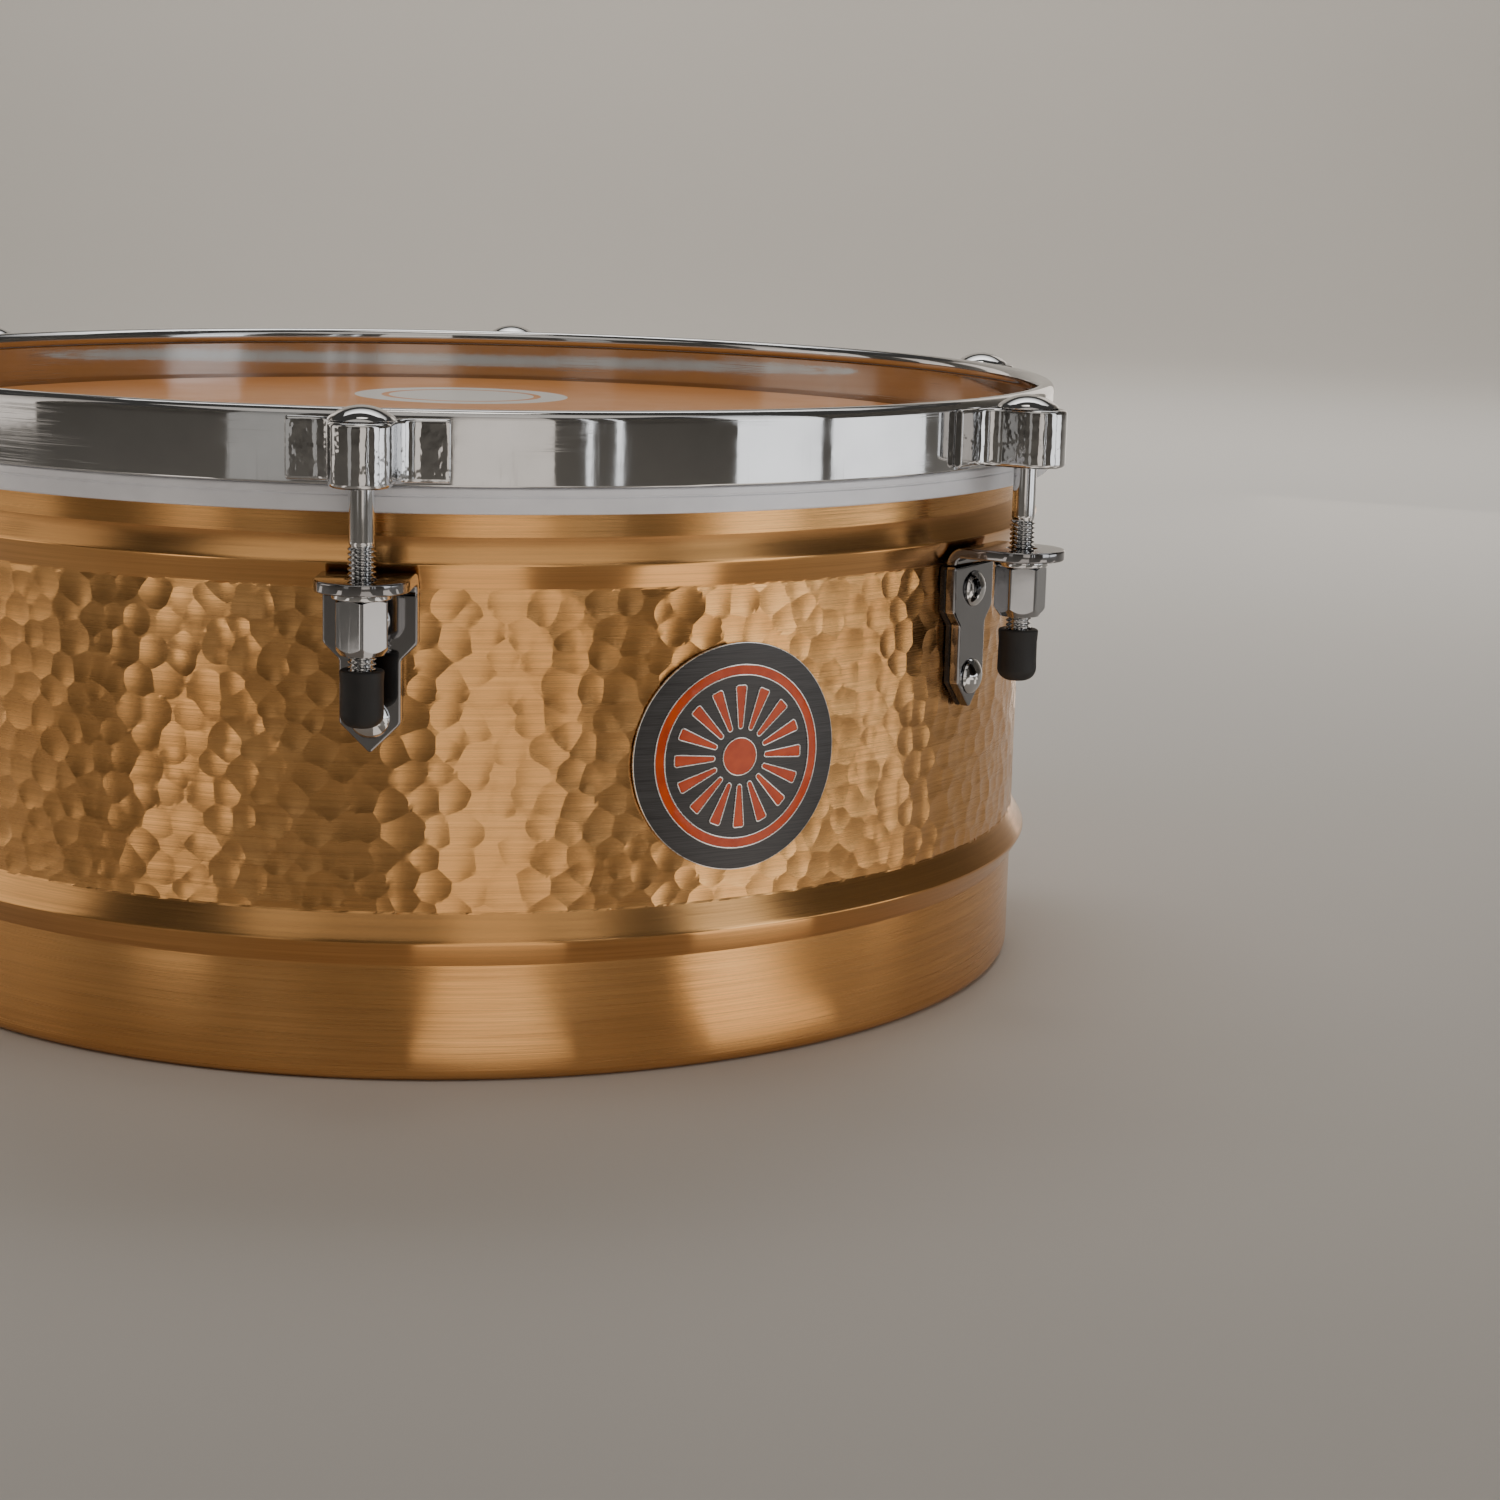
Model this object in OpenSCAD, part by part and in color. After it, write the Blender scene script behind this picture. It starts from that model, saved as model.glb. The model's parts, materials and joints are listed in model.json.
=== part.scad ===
// Timbale: a single-headed shallow metal drum with tension bolts and flat brackets.
// The origin is on the drum's axis, at the height of the lip that it stands on.
// Lug 1 points towards -Y, and the others follow anticlockwise seen from above.

/* [Shell] */
// Outside diameter of the shell
shell_d = 355.6; // [320:0.4:420]
// Thickness of the spun sheet
shell_t = 1.6; // [1:0.1:2]
// Height of the bearing edge, the round rim under the head
bearing_z = 158.4; // [150:0.2:200]
// Outside radius of the bearing edge
bearing_r = 4; // [3:0.1:4.5]
// Outside radius of the lip that is rolled inward at the bottom
lip_r = 3; // [2.5:0.1:5]
// Width of the lip's flat underside
lip_flat = 2.8; // [2:0.1:6]
// How far the two beads stand out from the shell
bead_out = 3.7; // [1:0.1:3.8]
// Height of the lower bead's ridge
low_bead_z = 38.4; // [25:0.2:60]
// Height of the lower bead from edge to edge
low_bead_h = 13.7; // [8:0.1:16]
// Height of the upper bead from edge to edge
high_bead_h = 13.1; // [8:0.1:13.6]
// From the bearing edge down to the upper bead's ridge
high_bead_drop = 21.8; // [21:0.1:26]

/* [Head] */
// Thickness of the film
film_t = 0.3; // [0.2:0.05:0.4]
// Angle at which the film leaves the bearing edge
film_fall = 10.4; // [8:0.2:12]
// Height of the flesh hoop
flesh_h = 6.8; // [6:0.1:7.4]
// Radial width of the flesh hoop
flesh_w = 5.2; // [4.8:0.1:5.6]

/* [Counterhoop] */
// From the shell's surface out to the counterhoop's outer face
hoop_gap = 7.3; // [7.1:0.1:8]
// Thickness of the counterhoop
hoop_t = 2.4; // [1.8:0.1:2.6]
// Height of the counterhoop
hoop_h = 19.2; // [18:0.1:28]
// Diameter of its rolled top edge
roll_d = 5.5; // [4:0.1:6]

/* [Strap ears] */
// Number of ears, bolts and brackets
lug_count = 6; // [5:1:8]
// From the counterhoop's outer face to the bolt's axis
bolt_gap = 10.9; // [10.5:0.1:13]
// Thickness of the strap
ear_t = 2.4; // [2:0.1:2.6]
// Height of the strap
ear_h = 16; // [12:0.1:16.2]
// Outside radius of the loop around the bolt
loop_r = 7.9; // [7.8:0.1:8.4]
// How far the loop's round end is centred beyond the bolt's axis
loop_out = 3.3; // [0:0.1:3.5]
// Outside radius of the bend between loop and foot
bend_r = 5.6; // [4:0.1:6]
// Half of the ear's length, measured along the counterhoop
foot_reach = 20; // [17:0.5:26]

/* [Tension bolts] */
// Diameter of the domed head
head_d = 17; // [16.4:0.1:20]
// Height of the domed head
head_h = 3.8; // [2.5:0.1:5]
// Diameter of the smooth shank
shank_d = 6.4; // [5:0.1:6.8]
// Outside diameter of the thread
thread_d = 7.1; // [6.9:0.1:7.4]
// Width of a tuning nut across its flats
nut_af = 12.7; // [12:0.1:14]
// Height of a tuning nut
nut_h = 13.9; // [8:0.1:15]
// Diameter of a rubber cap
cap_d = 11.15; // [10:0.05:12]
// Height of a rubber cap
cap_h = 14.5; // [12:0.1:18]

/* [Brackets] */
// Thickness of the bracket's flat bar
bar_t = 3; // [2:0.1:3]
// Width of the bracket
bar_w = 24; // [20:0.5:26]
// Width of the narrow lower part
tail_w = 15.6; // [13:0.1:18]
// Height of the bracket
bar_h = 46.3; // [44:0.1:52]
// Diameter of the bracket screws' heads
screw_head_d = 10.2; // [9:0.1:12]

/* [Badge] */
// Diameter of the badge
badge_d = 61; // [40:1:70]
// Height of the badge's centre
badge_z = 84.3; // [80:0.1:90]
// Angle from lug 1 to the badge
badge_turn = 31.5; // [29:0.1:32]
// Number of rays in the badge's enamel
ray_count = 16; // [8:1:18]

/* [Hidden] */
$fn = 144;
// Clearances: around the film, between a nut and its bolt, and around a shank
film_gap = 0.05;
slot_gap = 0.3;
thread_gap = 0.05;
hole_gap = 0.5;
// How far a cutter runs past the face that it cuts
past = 1;

// Radii
flesh_inset = 0.6;
film_inset = 1.45;
shell_r = shell_d / 2;
inner_r = shell_r - shell_t;
hoop_r = shell_r + hoop_gap;
hoop_in_r = hoop_r - hoop_t;
bolt_r = hoop_r + bolt_gap;
flesh_r = hoop_r - flesh_inset;
flesh_in_r = flesh_r - flesh_w;
film_edge_r = flesh_in_r + film_inset;
thread_r = thread_d / 2;

// Steps down from the bearing edge: to the flesh hoop, and to the brackets
flesh_drop = 1.9;
flange_drop = 23.6;
slot_floor = 1.9;
ear_rise = 1.1;
neck_h = 4;
thread_drop = 14;
cap_drop = 3.8;
cap_end = 3.3;

// Heights
flesh_top_z = bearing_z - flesh_drop;
flesh_low_z = flesh_top_z - flesh_h;
slot_low_z = flesh_low_z + slot_floor;
film_low_z = slot_low_z + slot_gap;
hoop_top_z = flesh_top_z + hoop_h;
ear_low_z = flesh_top_z + ear_rise;
ear_top_z = ear_low_z + ear_h;
neck_low_z = ear_top_z - neck_h;
thread_top_z = ear_low_z - thread_drop;
high_bead_z = bearing_z - high_bead_drop;
flange_z = bearing_z - flange_drop;
washer_t = 1.9;
washer_d = 15;
nut_top_z = flange_z - bar_t - washer_t;
nut_low_z = nut_top_z - nut_h;
cap_top_z = nut_low_z - cap_drop;
cap_low_z = cap_top_z - cap_h;
bolt_end_z = cap_low_z + cap_end;
head_land = 0.6;

// Brackets: the plate stands on a gasket, flat against the shell
gasket_t = 1;
gasket_drop = 5.5;
shoulder_drop = 18.4;
screw_drops = [12.6, 37.6];
tip_half = 0.4;
plate_y = shell_r + gasket_t;
plate_out_y = plate_y + bar_t;
bend_in_r = 2;
bend_out_r = bend_in_r + bar_t;
tail_low_z = flange_z - bar_h;
tip_z = tail_low_z + tail_w / 2 - tip_half;
shoulder_z = flange_z - shoulder_drop;
tail_z = shoulder_z - (bar_w - tail_w) / 2;
screw_zs = [for (drop = screw_drops) flange_z - drop];
screw_r = 2.5;
screw_head_h = 2.9;
screw_land = 0.5;
inner_washer_t = 1;
inner_washer_r = 6;
inner_washer_gap = 0.15;
inner_nut_t = 4;
inner_nut_af = 8;
inside_y = sqrt(pow(inner_r, 2) - pow(inner_washer_r, 2)) - thread_gap;
screw_end_y = inside_y - inner_washer_t - inner_nut_t - 1;

// Badge: pad, plate and enamel, one on the other
pad_t = 0.5;
pad_inset = 0.6;
badge_t = 1.1;
enamel_t = 0.4;
badge_r = badge_d / 2;
enamel_r = shell_r + pad_t + badge_t - enamel_t;
// The rosette: its ring, its disc, and each ray's two ends as a radius and half a width
ring_r = badge_r * 0.78;
ring_w = 2.2;
disc_r = badge_r * 0.16;
ray_start = [badge_r * 0.24, 0.5];
ray_end = [badge_r * 0.6, 1.3];

// Angle of each nut's corner from the radius through its bolt, in order of the lugs
nut_turns = [7.7, 33, 52, 18, 41, 27, 12, 46];

function names(base) = [for (i = [1:lug_count]) str(base, "_", i)];

// ---- Shared shapes ----

// Flat ring piece between two radii, from one angle to another (under 180 degrees)
module ring_piece(r_in, r_out, from, to) {
    far = 2 * r_out;
    steps = 4;
    fan = [for (s = [0:steps]) from + (to - from) * s / steps];
    intersection() {
        difference() {
            circle(r_out);
            circle(r_in);
        }
        polygon(concat([[0, 0]], [for (a = fan) far * [cos(a), sin(a)]]));
    }
}

// Turns a shape made at lug 1 to lug i
module at_lug(i) {
    rotate([0, 0, (i - 1) * 360 / lug_count]) children();
}

// Puts a shape on bolt i's axis
module at_bolt(i) {
    at_lug(i) translate([0, -bolt_r, 0]) children();
}

// One copy on every bracket screw's axis, with +Z pointing out of the drum
module at_screws() {
    for (i = [1:lug_count], z = screw_zs) {
        at_lug(i) translate([0, 0, z]) rotate([90, 0, 0]) children();
    }
}

// Domed head: a short land and a spherical cap, standing on z = 0
module dome(d, h, land) {
    rise = h - land;
    ball_r = (pow(d / 2, 2) + pow(rise, 2)) / (2 * rise);
    rotate_extrude() {
        square([d / 2, land]);
        intersection() {
            translate([0, h - ball_r]) circle(ball_r);
            translate([0, land]) square([d / 2, rise]);
        }
    }
}

// Hexagonal prism of a width across its flats, with one corner towards +X
module hex_prism(af, h) {
    cylinder(r = af / sqrt(3), h = h, $fn = 6);
}

// ---- Shell ----

// Outline of the sheet's outer or inner side, filled towards the axis
module sheet_outline(r) {
    fill = 12;
    top_z = bearing_z - bearing_r;
    polygon([
        [r - fill, lip_r], [r, lip_r],
        [r, low_bead_z - low_bead_h / 2], [r + bead_out, low_bead_z], [r, low_bead_z + low_bead_h / 2],
        [r, high_bead_z - high_bead_h / 2], [r + bead_out, high_bead_z],
        [r, high_bead_z + high_bead_h / 2],
        [r, top_z], [r - fill, top_z]
    ]);
}

module shell_section() {
    turn_in = 125;
    difference() {
        sheet_outline(shell_r);
        sheet_outline(inner_r);
    }
    translate([shell_r - lip_r, lip_r]) ring_piece(lip_r - shell_t, lip_r, -90, 0);
    translate([shell_r - lip_r - lip_flat, 0]) square([lip_flat, shell_t]);
    translate([shell_r - bearing_r, bearing_z - bearing_r]) {
        ring_piece(bearing_r - shell_t, bearing_r, 0, turn_in);
    }
}

module shell() {
    color("#b98a55") difference() {
        rotate_extrude() shell_section();
        at_screws() cylinder(r = screw_r + hole_gap / 2, h = plate_y);
    }
}

// ---- Head and hoops ----

// The film lies flat, bends over the bearing edge, falls away and turns down into the slot
module film_section() {
    edge = [shell_r - bearing_r, bearing_z - bearing_r];
    r_low = bearing_r + film_gap;
    r_high = r_low + film_t;
    leave = 90 - film_fall;
    along = [sin(leave), -cos(leave)];
    low = edge + r_low * [cos(leave), sin(leave)];
    high = edge + r_high * [cos(leave), sin(leave)];
    low_end = low + along * (film_edge_r - low.x) / along.x;
    high_end = high + along * (film_edge_r + film_t - high.x) / along.x;
    translate([0, bearing_z + film_gap]) square([edge.x, film_t]);
    translate(edge) ring_piece(r_low, r_high, leave, 90);
    polygon([low, low_end, high_end, high]);
    polygon([low_end, [film_edge_r, film_low_z], [film_edge_r + film_t, film_low_z], high_end]);
}

module head_film() {
    color("#b97a3c") rotate_extrude() film_section();
}

module flesh_hoop() {
    shoulder = 0.8;
    lip_drop = 0.7;
    groove_r = 0.4;
    groove = [flesh_r + 0.1, flesh_top_z - 2.3];
    slot_in_r = film_edge_r - slot_gap;
    color("#c3c5c8") rotate_extrude() difference() {
        union() {
            translate([flesh_in_r, flesh_low_z]) square([flesh_w, flesh_h - shoulder]);
            translate([flesh_in_r, flesh_low_z]) square([flesh_w - shoulder, flesh_h]);
            translate([flesh_r - shoulder, flesh_top_z - shoulder]) circle(shoulder);
        }
        translate([slot_in_r, slot_low_z]) square([film_t + 2 * slot_gap, flesh_h]);
        translate([flesh_in_r - past, flesh_top_z - lip_drop]) {
            square([slot_in_r - flesh_in_r + past + slot_gap, lip_drop + past]);
        }
        translate(groove) circle(groove_r);
    }
}

module counterhoop() {
    roll_r = roll_d / 2;
    roll_z = hoop_top_z - roll_r;
    color("#d9dcdf") rotate_extrude() {
        translate([hoop_in_r, flesh_top_z]) square([hoop_t, roll_z - flesh_top_z]);
        translate([hoop_r - roll_r, roll_z]) circle(roll_r);
    }
}

// ---- Strap ears ----

// Plan of one ear at lug 1: loop, straight sides, bends and the feet that lie on the hoop
module ear_plan() {
    bend_x = loop_r + bend_r;
    bend_y = -sqrt(pow(hoop_r + ear_t + bend_r, 2) - pow(bend_x, 2));
    bend_end = atan2(-bend_y, -bend_x);
    overlap = 0.02;
    foot_from = atan2(bend_y, bend_x) - overlap / hoop_r * 180 / PI;
    foot_to = -90 + foot_reach / hoop_r * 180 / PI;
    translate([0, -bolt_r - loop_out]) difference() {
        union() {
            circle(loop_r);
            translate([-loop_r, 0]) square([2 * loop_r, loop_out + bolt_r + bend_y + overlap]);
        }
        circle(loop_r - ear_t);
        translate([ear_t - loop_r, 0]) square([2 * (loop_r - ear_t), bolt_r]);
    }
    for (side = [0, 1]) mirror([side, 0]) {
        translate([bend_x, bend_y]) ring_piece(bend_r, bend_r + ear_t, bend_end, 180);
        ring_piece(hoop_r, hoop_r + ear_t, foot_from, foot_to);
    }
}

module hoop_ear(i) {
    color("#cfd3d6") at_lug(i) translate([0, 0, ear_low_z]) linear_extrude(ear_h) ear_plan();
}

// ---- Tension bolts, nuts and caps ----

// The neck fits between the loop's sides and is flat-sided behind the bolt, so that it can't turn
module bolt_neck() {
    neck_r = loop_r - ear_t - slot_gap;
    neck_back = 6;
    circle(neck_r);
    translate([-neck_r, 0]) square([2 * neck_r, neck_back]);
}

module tension_bolt(i) {
    color("#e2e4e6") at_bolt(i) {
        translate([0, 0, ear_top_z]) dome(head_d, head_h, head_land);
        translate([0, 0, neck_low_z]) linear_extrude(ear_top_z - neck_low_z) bolt_neck();
        translate([0, 0, thread_top_z]) cylinder(d = shank_d, h = neck_low_z - thread_top_z);
        translate([0, 0, bolt_end_z]) cylinder(r = thread_r, h = thread_top_z - bolt_end_z);
    }
}

// Round limit that cuts the nut's corners: a small chamfer above and a long cone below
module nut_limit() {
    corner_r = nut_af / sqrt(3) + 0.1;
    foot_r = nut_af / 2 - 0.8;
    cone_h = 2.5;
    chamfer = 0.5;
    rotate_extrude() polygon([
        [0, 0], [foot_r, 0], [corner_r, cone_h], [corner_r, nut_h - chamfer],
        [nut_af / 2, nut_h], [0, nut_h]
    ]);
}

module tuning_nut(i) {
    color("#d4d8db") at_bolt(i) translate([0, 0, nut_low_z]) difference() {
        intersection() {
            rotate([0, 0, nut_turns[i - 1] - 90]) hex_prism(nut_af, nut_h);
            nut_limit();
        }
        translate([0, 0, -past]) cylinder(r = thread_r + thread_gap, h = nut_h + 2 * past);
    }
}

module bolt_cap(i) {
    cap_r = cap_d / 2;
    round_r = 3.5;
    color("#1b1b1c") at_bolt(i) difference() {
        translate([0, 0, cap_low_z]) rotate_extrude() {
            square([cap_r - round_r, cap_h]);
            translate([0, round_r]) square([cap_r, cap_h - round_r]);
            intersection() {
                translate([cap_r - round_r, round_r]) circle(round_r);
                square(cap_r);
            }
        }
        translate([0, 0, bolt_end_z]) cylinder(r = thread_r, h = cap_h);
    }
}

module nut_washers() {
    color("#c9ccce") for (i = [1:lug_count]) {
        at_bolt(i) translate([0, 0, nut_top_z]) difference() {
            cylinder(d = washer_d, h = washer_t);
            translate([0, 0, -past]) cylinder(r = thread_r + slot_gap, h = washer_t + 2 * past);
        }
    }
}

// ---- Brackets ----

// Front outline of the plate or the gasket: wide at the top, narrow below, ending in a V
module plate_outline(top_z) {
    polygon([
        [bar_w / 2, top_z], [bar_w / 2, shoulder_z], [tail_w / 2, tail_z], [tail_w / 2, tip_z],
        [tip_half, tail_low_z], [-tip_half, tail_low_z],
        [-tail_w / 2, tip_z], [-tail_w / 2, tail_z], [-bar_w / 2, shoulder_z], [-bar_w / 2, top_z]
    ]);
}

// A slab with that outline, standing from one distance off the drum's axis to another
module upright_slab(y_in, y_out, top_z) {
    translate([0, -y_in, 0]) rotate([90, 0, 0]) linear_extrude(y_out - y_in) plate_outline(top_z);
}

module screw_holes() {
    for (z = screw_zs) {
        translate([0, 0, z]) rotate([90, 0, 0]) cylinder(r = screw_r + hole_gap / 2, h = bolt_r);
    }
}

module lug_bracket(i) {
    bend_y = plate_y + bend_out_r;
    bend_z = flange_z - bend_out_r;
    color("#b9bdc0") at_lug(i) difference() {
        union() {
            upright_slab(plate_y, plate_out_y, bend_z);
            translate([bar_w / 2, -bend_y, bend_z]) rotate([90, 0, -90]) linear_extrude(bar_w) {
                ring_piece(bend_in_r, bend_out_r, 90, 180);
            }
            translate([0, 0, flange_z - bar_t]) linear_extrude(bar_t) {
                translate([-bar_w / 2, -bolt_r]) square([bar_w, bolt_r - bend_y]);
                translate([0, -bolt_r]) circle(bar_w / 2);
            }
        }
        screw_holes();
        translate([0, -bolt_r, flange_z - bar_t - past]) {
            cylinder(r = thread_r + hole_gap, h = bar_t + 2 * past);
        }
    }
}

module lug_gasket(i) {
    sunk = 5;
    color("#161616") at_lug(i) difference() {
        upright_slab(shell_r - sunk, plate_y, flange_z - gasket_drop);
        cylinder(r = shell_r, h = bearing_z, $fn = 5 * $fn);
        screw_holes();
    }
}

module bracket_screws() {
    color("#dddfe1") at_screws() {
        translate([0, 0, plate_out_y]) dome(screw_head_d, screw_head_h, screw_land);
        translate([0, 0, screw_end_y]) cylinder(r = screw_r, h = plate_out_y - screw_end_y);
    }
}

module inner_washers() {
    color("#c9ccce") at_screws() {
        translate([0, 0, inside_y - inner_washer_t]) difference() {
            cylinder(r = inner_washer_r, h = inner_washer_t);
            translate([0, 0, -past]) {
                cylinder(r = screw_r + inner_washer_gap, h = inner_washer_t + 2 * past);
            }
        }
    }
}

module inner_nuts() {
    color("#b4b7ba") at_screws() {
        translate([0, 0, inside_y - inner_washer_t - inner_nut_t]) difference() {
            hex_prism(inner_nut_af, inner_nut_t);
            translate([0, 0, -past]) cylinder(r = screw_r + thread_gap, h = inner_nut_t + 2 * past);
        }
    }
}

// ---- Badge ----

// Curved wall between two radii, cut to a flat pattern that faces out of the drum
module curved_patch(r_in, r_out) {
    rotate([0, 0, badge_turn]) intersection() {
        translate([0, 0, badge_z - badge_r - past]) difference() {
            cylinder(r = r_out, h = badge_d + 2 * past);
            translate([0, 0, -past]) cylinder(r = r_in, h = badge_d + 4 * past);
        }
        translate([0, 0, badge_z]) rotate([90, 0, 0]) linear_extrude(r_out + past) children();
    }
}

// Plain rosette: a ring, a disc and straight rays between them
module rosette() {
    difference() {
        circle(ring_r);
        circle(ring_r - ring_w);
    }
    circle(disc_r);
    for (k = [1:ray_count]) {
        rotate(k * 360 / ray_count) polygon([
            [ray_start.x, -ray_start.y], [ray_end.x, -ray_end.y], ray_end, ray_start
        ]);
    }
}

module badge_pad() {
    color("#2a2a2a") curved_patch(shell_r, shell_r + pad_t) circle(badge_r - pad_inset);
}

module badge_plate() {
    color("#565656") difference() {
        curved_patch(shell_r + pad_t, shell_r + pad_t + badge_t) circle(badge_r);
        curved_patch(enamel_r, enamel_r + past) rosette();
    }
}

module badge_enamel() {
    color("#c8420f") curved_patch(enamel_r, enamel_r + enamel_t) rosette();
}

shell();
head_film();
flesh_hoop();
counterhoop();
for (i = [1:lug_count]) {
    hoop_ear(i);
    tension_bolt(i);
    bolt_cap(i);
    lug_bracket(i);
    lug_gasket(i);
    tuning_nut(i);
}
nut_washers();
bracket_screws();
inner_washers();
inner_nuts();
badge_pad();
badge_plate();
badge_enamel();
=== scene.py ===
import json
import math

import bpy
import numpy as np
from mathutils import Matrix, Vector
from mathutils.geometry import delaunay_2d_cdt


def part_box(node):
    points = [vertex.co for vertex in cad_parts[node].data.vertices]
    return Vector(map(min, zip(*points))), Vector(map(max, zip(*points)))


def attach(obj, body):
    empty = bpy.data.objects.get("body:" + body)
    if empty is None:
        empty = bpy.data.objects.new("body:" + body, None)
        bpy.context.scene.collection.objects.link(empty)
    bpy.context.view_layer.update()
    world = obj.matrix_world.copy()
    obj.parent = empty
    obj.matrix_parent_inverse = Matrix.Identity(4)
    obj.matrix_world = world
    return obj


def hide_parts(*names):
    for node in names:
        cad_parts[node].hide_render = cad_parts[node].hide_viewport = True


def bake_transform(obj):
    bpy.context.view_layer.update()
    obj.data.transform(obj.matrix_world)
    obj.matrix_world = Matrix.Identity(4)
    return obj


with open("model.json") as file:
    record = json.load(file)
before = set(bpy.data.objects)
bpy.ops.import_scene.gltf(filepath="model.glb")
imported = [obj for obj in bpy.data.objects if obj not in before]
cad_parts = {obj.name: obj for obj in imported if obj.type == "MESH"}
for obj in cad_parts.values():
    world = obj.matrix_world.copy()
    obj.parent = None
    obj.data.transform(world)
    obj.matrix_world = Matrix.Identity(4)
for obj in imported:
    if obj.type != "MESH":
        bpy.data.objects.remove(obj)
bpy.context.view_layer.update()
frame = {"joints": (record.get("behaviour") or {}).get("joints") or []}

# Everything below is worked out in millimetres, in the CAD frame: +Z up, lug 1 towards -Y.
MM = 0.001
SHELL_BODY = "drum_shell"
HOOP_BODY = "hoop_assembly"


class Span:
    """A CAD node's box at rest, in millimetres."""

    def __init__(self, node):
        low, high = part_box(node)
        self.x0, self.y0, self.z0 = (c / MM for c in low)
        self.x1, self.y1, self.z1 = (c / MM for c in high)


def joint(name):
    return next(j for j in frame["joints"] if j["name"] == name)


# ---- Sizes, from the frame ----

LUGS = range(1, 1 + sum(j["child"].startswith("nut_") for j in frame["joints"]))
LUG_STEP = 2 * math.pi / len(LUGS)
BOLT_R = -joint("tuning_nut_1_turn")["pos_m"][1] / MM

shell_span = Span("shell")
film_span = Span("head_film")
flesh_span = Span("flesh_hoop")
hoop_span = Span("counterhoop")
ear_span = Span("hoop_ear_1")
bolt_span = Span("tension_bolt_1")
cap_span = Span("bolt_cap_1")
bracket_span = Span("lug_bracket_1")
gasket_span = Span("lug_gasket_1")
nut_span = Span("tuning_nut_1")
washer_span = Span("nut_washers")

SHELL_R = -gasket_span.y1
BEAD_R = shell_span.x1
WALL = 1.6
HOOP_R = hoop_span.x1
HOOP_T = 2.4
THREAD_PITCH = 1.27


# ---- Mesh tools ----

def add_object(name, data):
    made = bpy.data.objects.new(name, data)
    bpy.context.scene.collection.objects.link(made)
    return made


def smooth_mesh(name, verts, faces, materials):
    """A mesh with every face shaded smooth, from points in metres."""
    mesh = bpy.data.meshes.new(name)
    mesh.from_pydata(verts.tolist(), [], [tuple(f) for f in faces])
    mesh.polygons.foreach_set("use_smooth", np.ones(len(mesh.polygons), bool))
    for material in materials:
        mesh.materials.append(material)
    return mesh


def add_piece(name, part, body, slot, materials, nodes=(), pattern=None, sharp=35.0, even=True):
    """Makes an object from a mesh, (points in millimetres, faces), rides it on a body and hides the CAD nodes
    that it stands for. slot is not used. Edges over sharp degrees stay sharp, and 0 smooths them all."""
    mesh = smooth_mesh(name, np.asarray(part[0], float) * MM, part[1], materials)
    if pattern is not None:
        mesh.polygons.foreach_set("material_index", np.asarray(pattern, np.int32))
    mesh.update()
    if sharp:
        mesh.set_sharp_from_angle(angle=math.radians(sharp))
    piece = add_object(name, mesh)
    if sharp and even:
        weigh = piece.modifiers.new("even_normals", "WEIGHTED_NORMAL")
        weigh.keep_sharp = True
    if body:
        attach(piece, body)
    if nodes:
        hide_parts(*nodes)
    return piece


def add_at_lugs(name, part, body, slot, material, node, lugs=LUGS, sharp=35.0):
    """A mesh made at lug 1, as a piece at each lug. Names and CAD nodes end in the lug's number."""
    verts, faces = part
    for k in lugs:
        placed = at_lug(verts, k), faces
        add_piece(f"{name}_{k}", placed, body, slot, [material], [f"{node}_{k}"], sharp=sharp)


def turned(verts, angle):
    """Points turned about the drum's axis, anticlockwise from above."""
    c, s = math.cos(angle), math.sin(angle)
    v = np.asarray(verts, float)
    return np.column_stack([c * v[:, 0] - s * v[:, 1], s * v[:, 0] + c * v[:, 1], v[:, 2]])


def at_lug(verts, k):
    """Points made at lug 1, turned to lug k."""
    return turned(verts, (k - 1) * LUG_STEP)


def on_bolt(part):
    """A mesh made on the drum's axis, moved to lug 1's bolt."""
    verts, faces = part
    return verts + np.array([0, -BOLT_R, 0]), faces


def joined(parts):
    """Several (verts, faces) meshes as one."""
    verts, faces, start = [], [], 0
    for part_verts, part_faces in parts:
        verts.append(np.asarray(part_verts, float))
        faces.extend([tuple(i + start for i in f) for f in part_faces])
        start += len(part_verts)
    return np.vstack(verts), faces


def arc(cx, cy, r, start, end, steps):
    """Points along an arc, angles in degrees."""
    angles = np.radians(np.linspace(start, end, steps + 1))
    return [(cx + r * math.cos(a), cy + r * math.sin(a)) for a in angles]


def rounded(x, z, r, start, steps):
    """The quarter arc, from the angle start, that rounds a section's corner at (x, z)."""
    side_x, side_z = {-90: (1, -1), 0: (1, 1), 90: (-1, 1), 180: (-1, -1)}[start]
    return arc(x - side_x * r, z - side_z * r, r, start, start + 90, steps)


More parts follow.
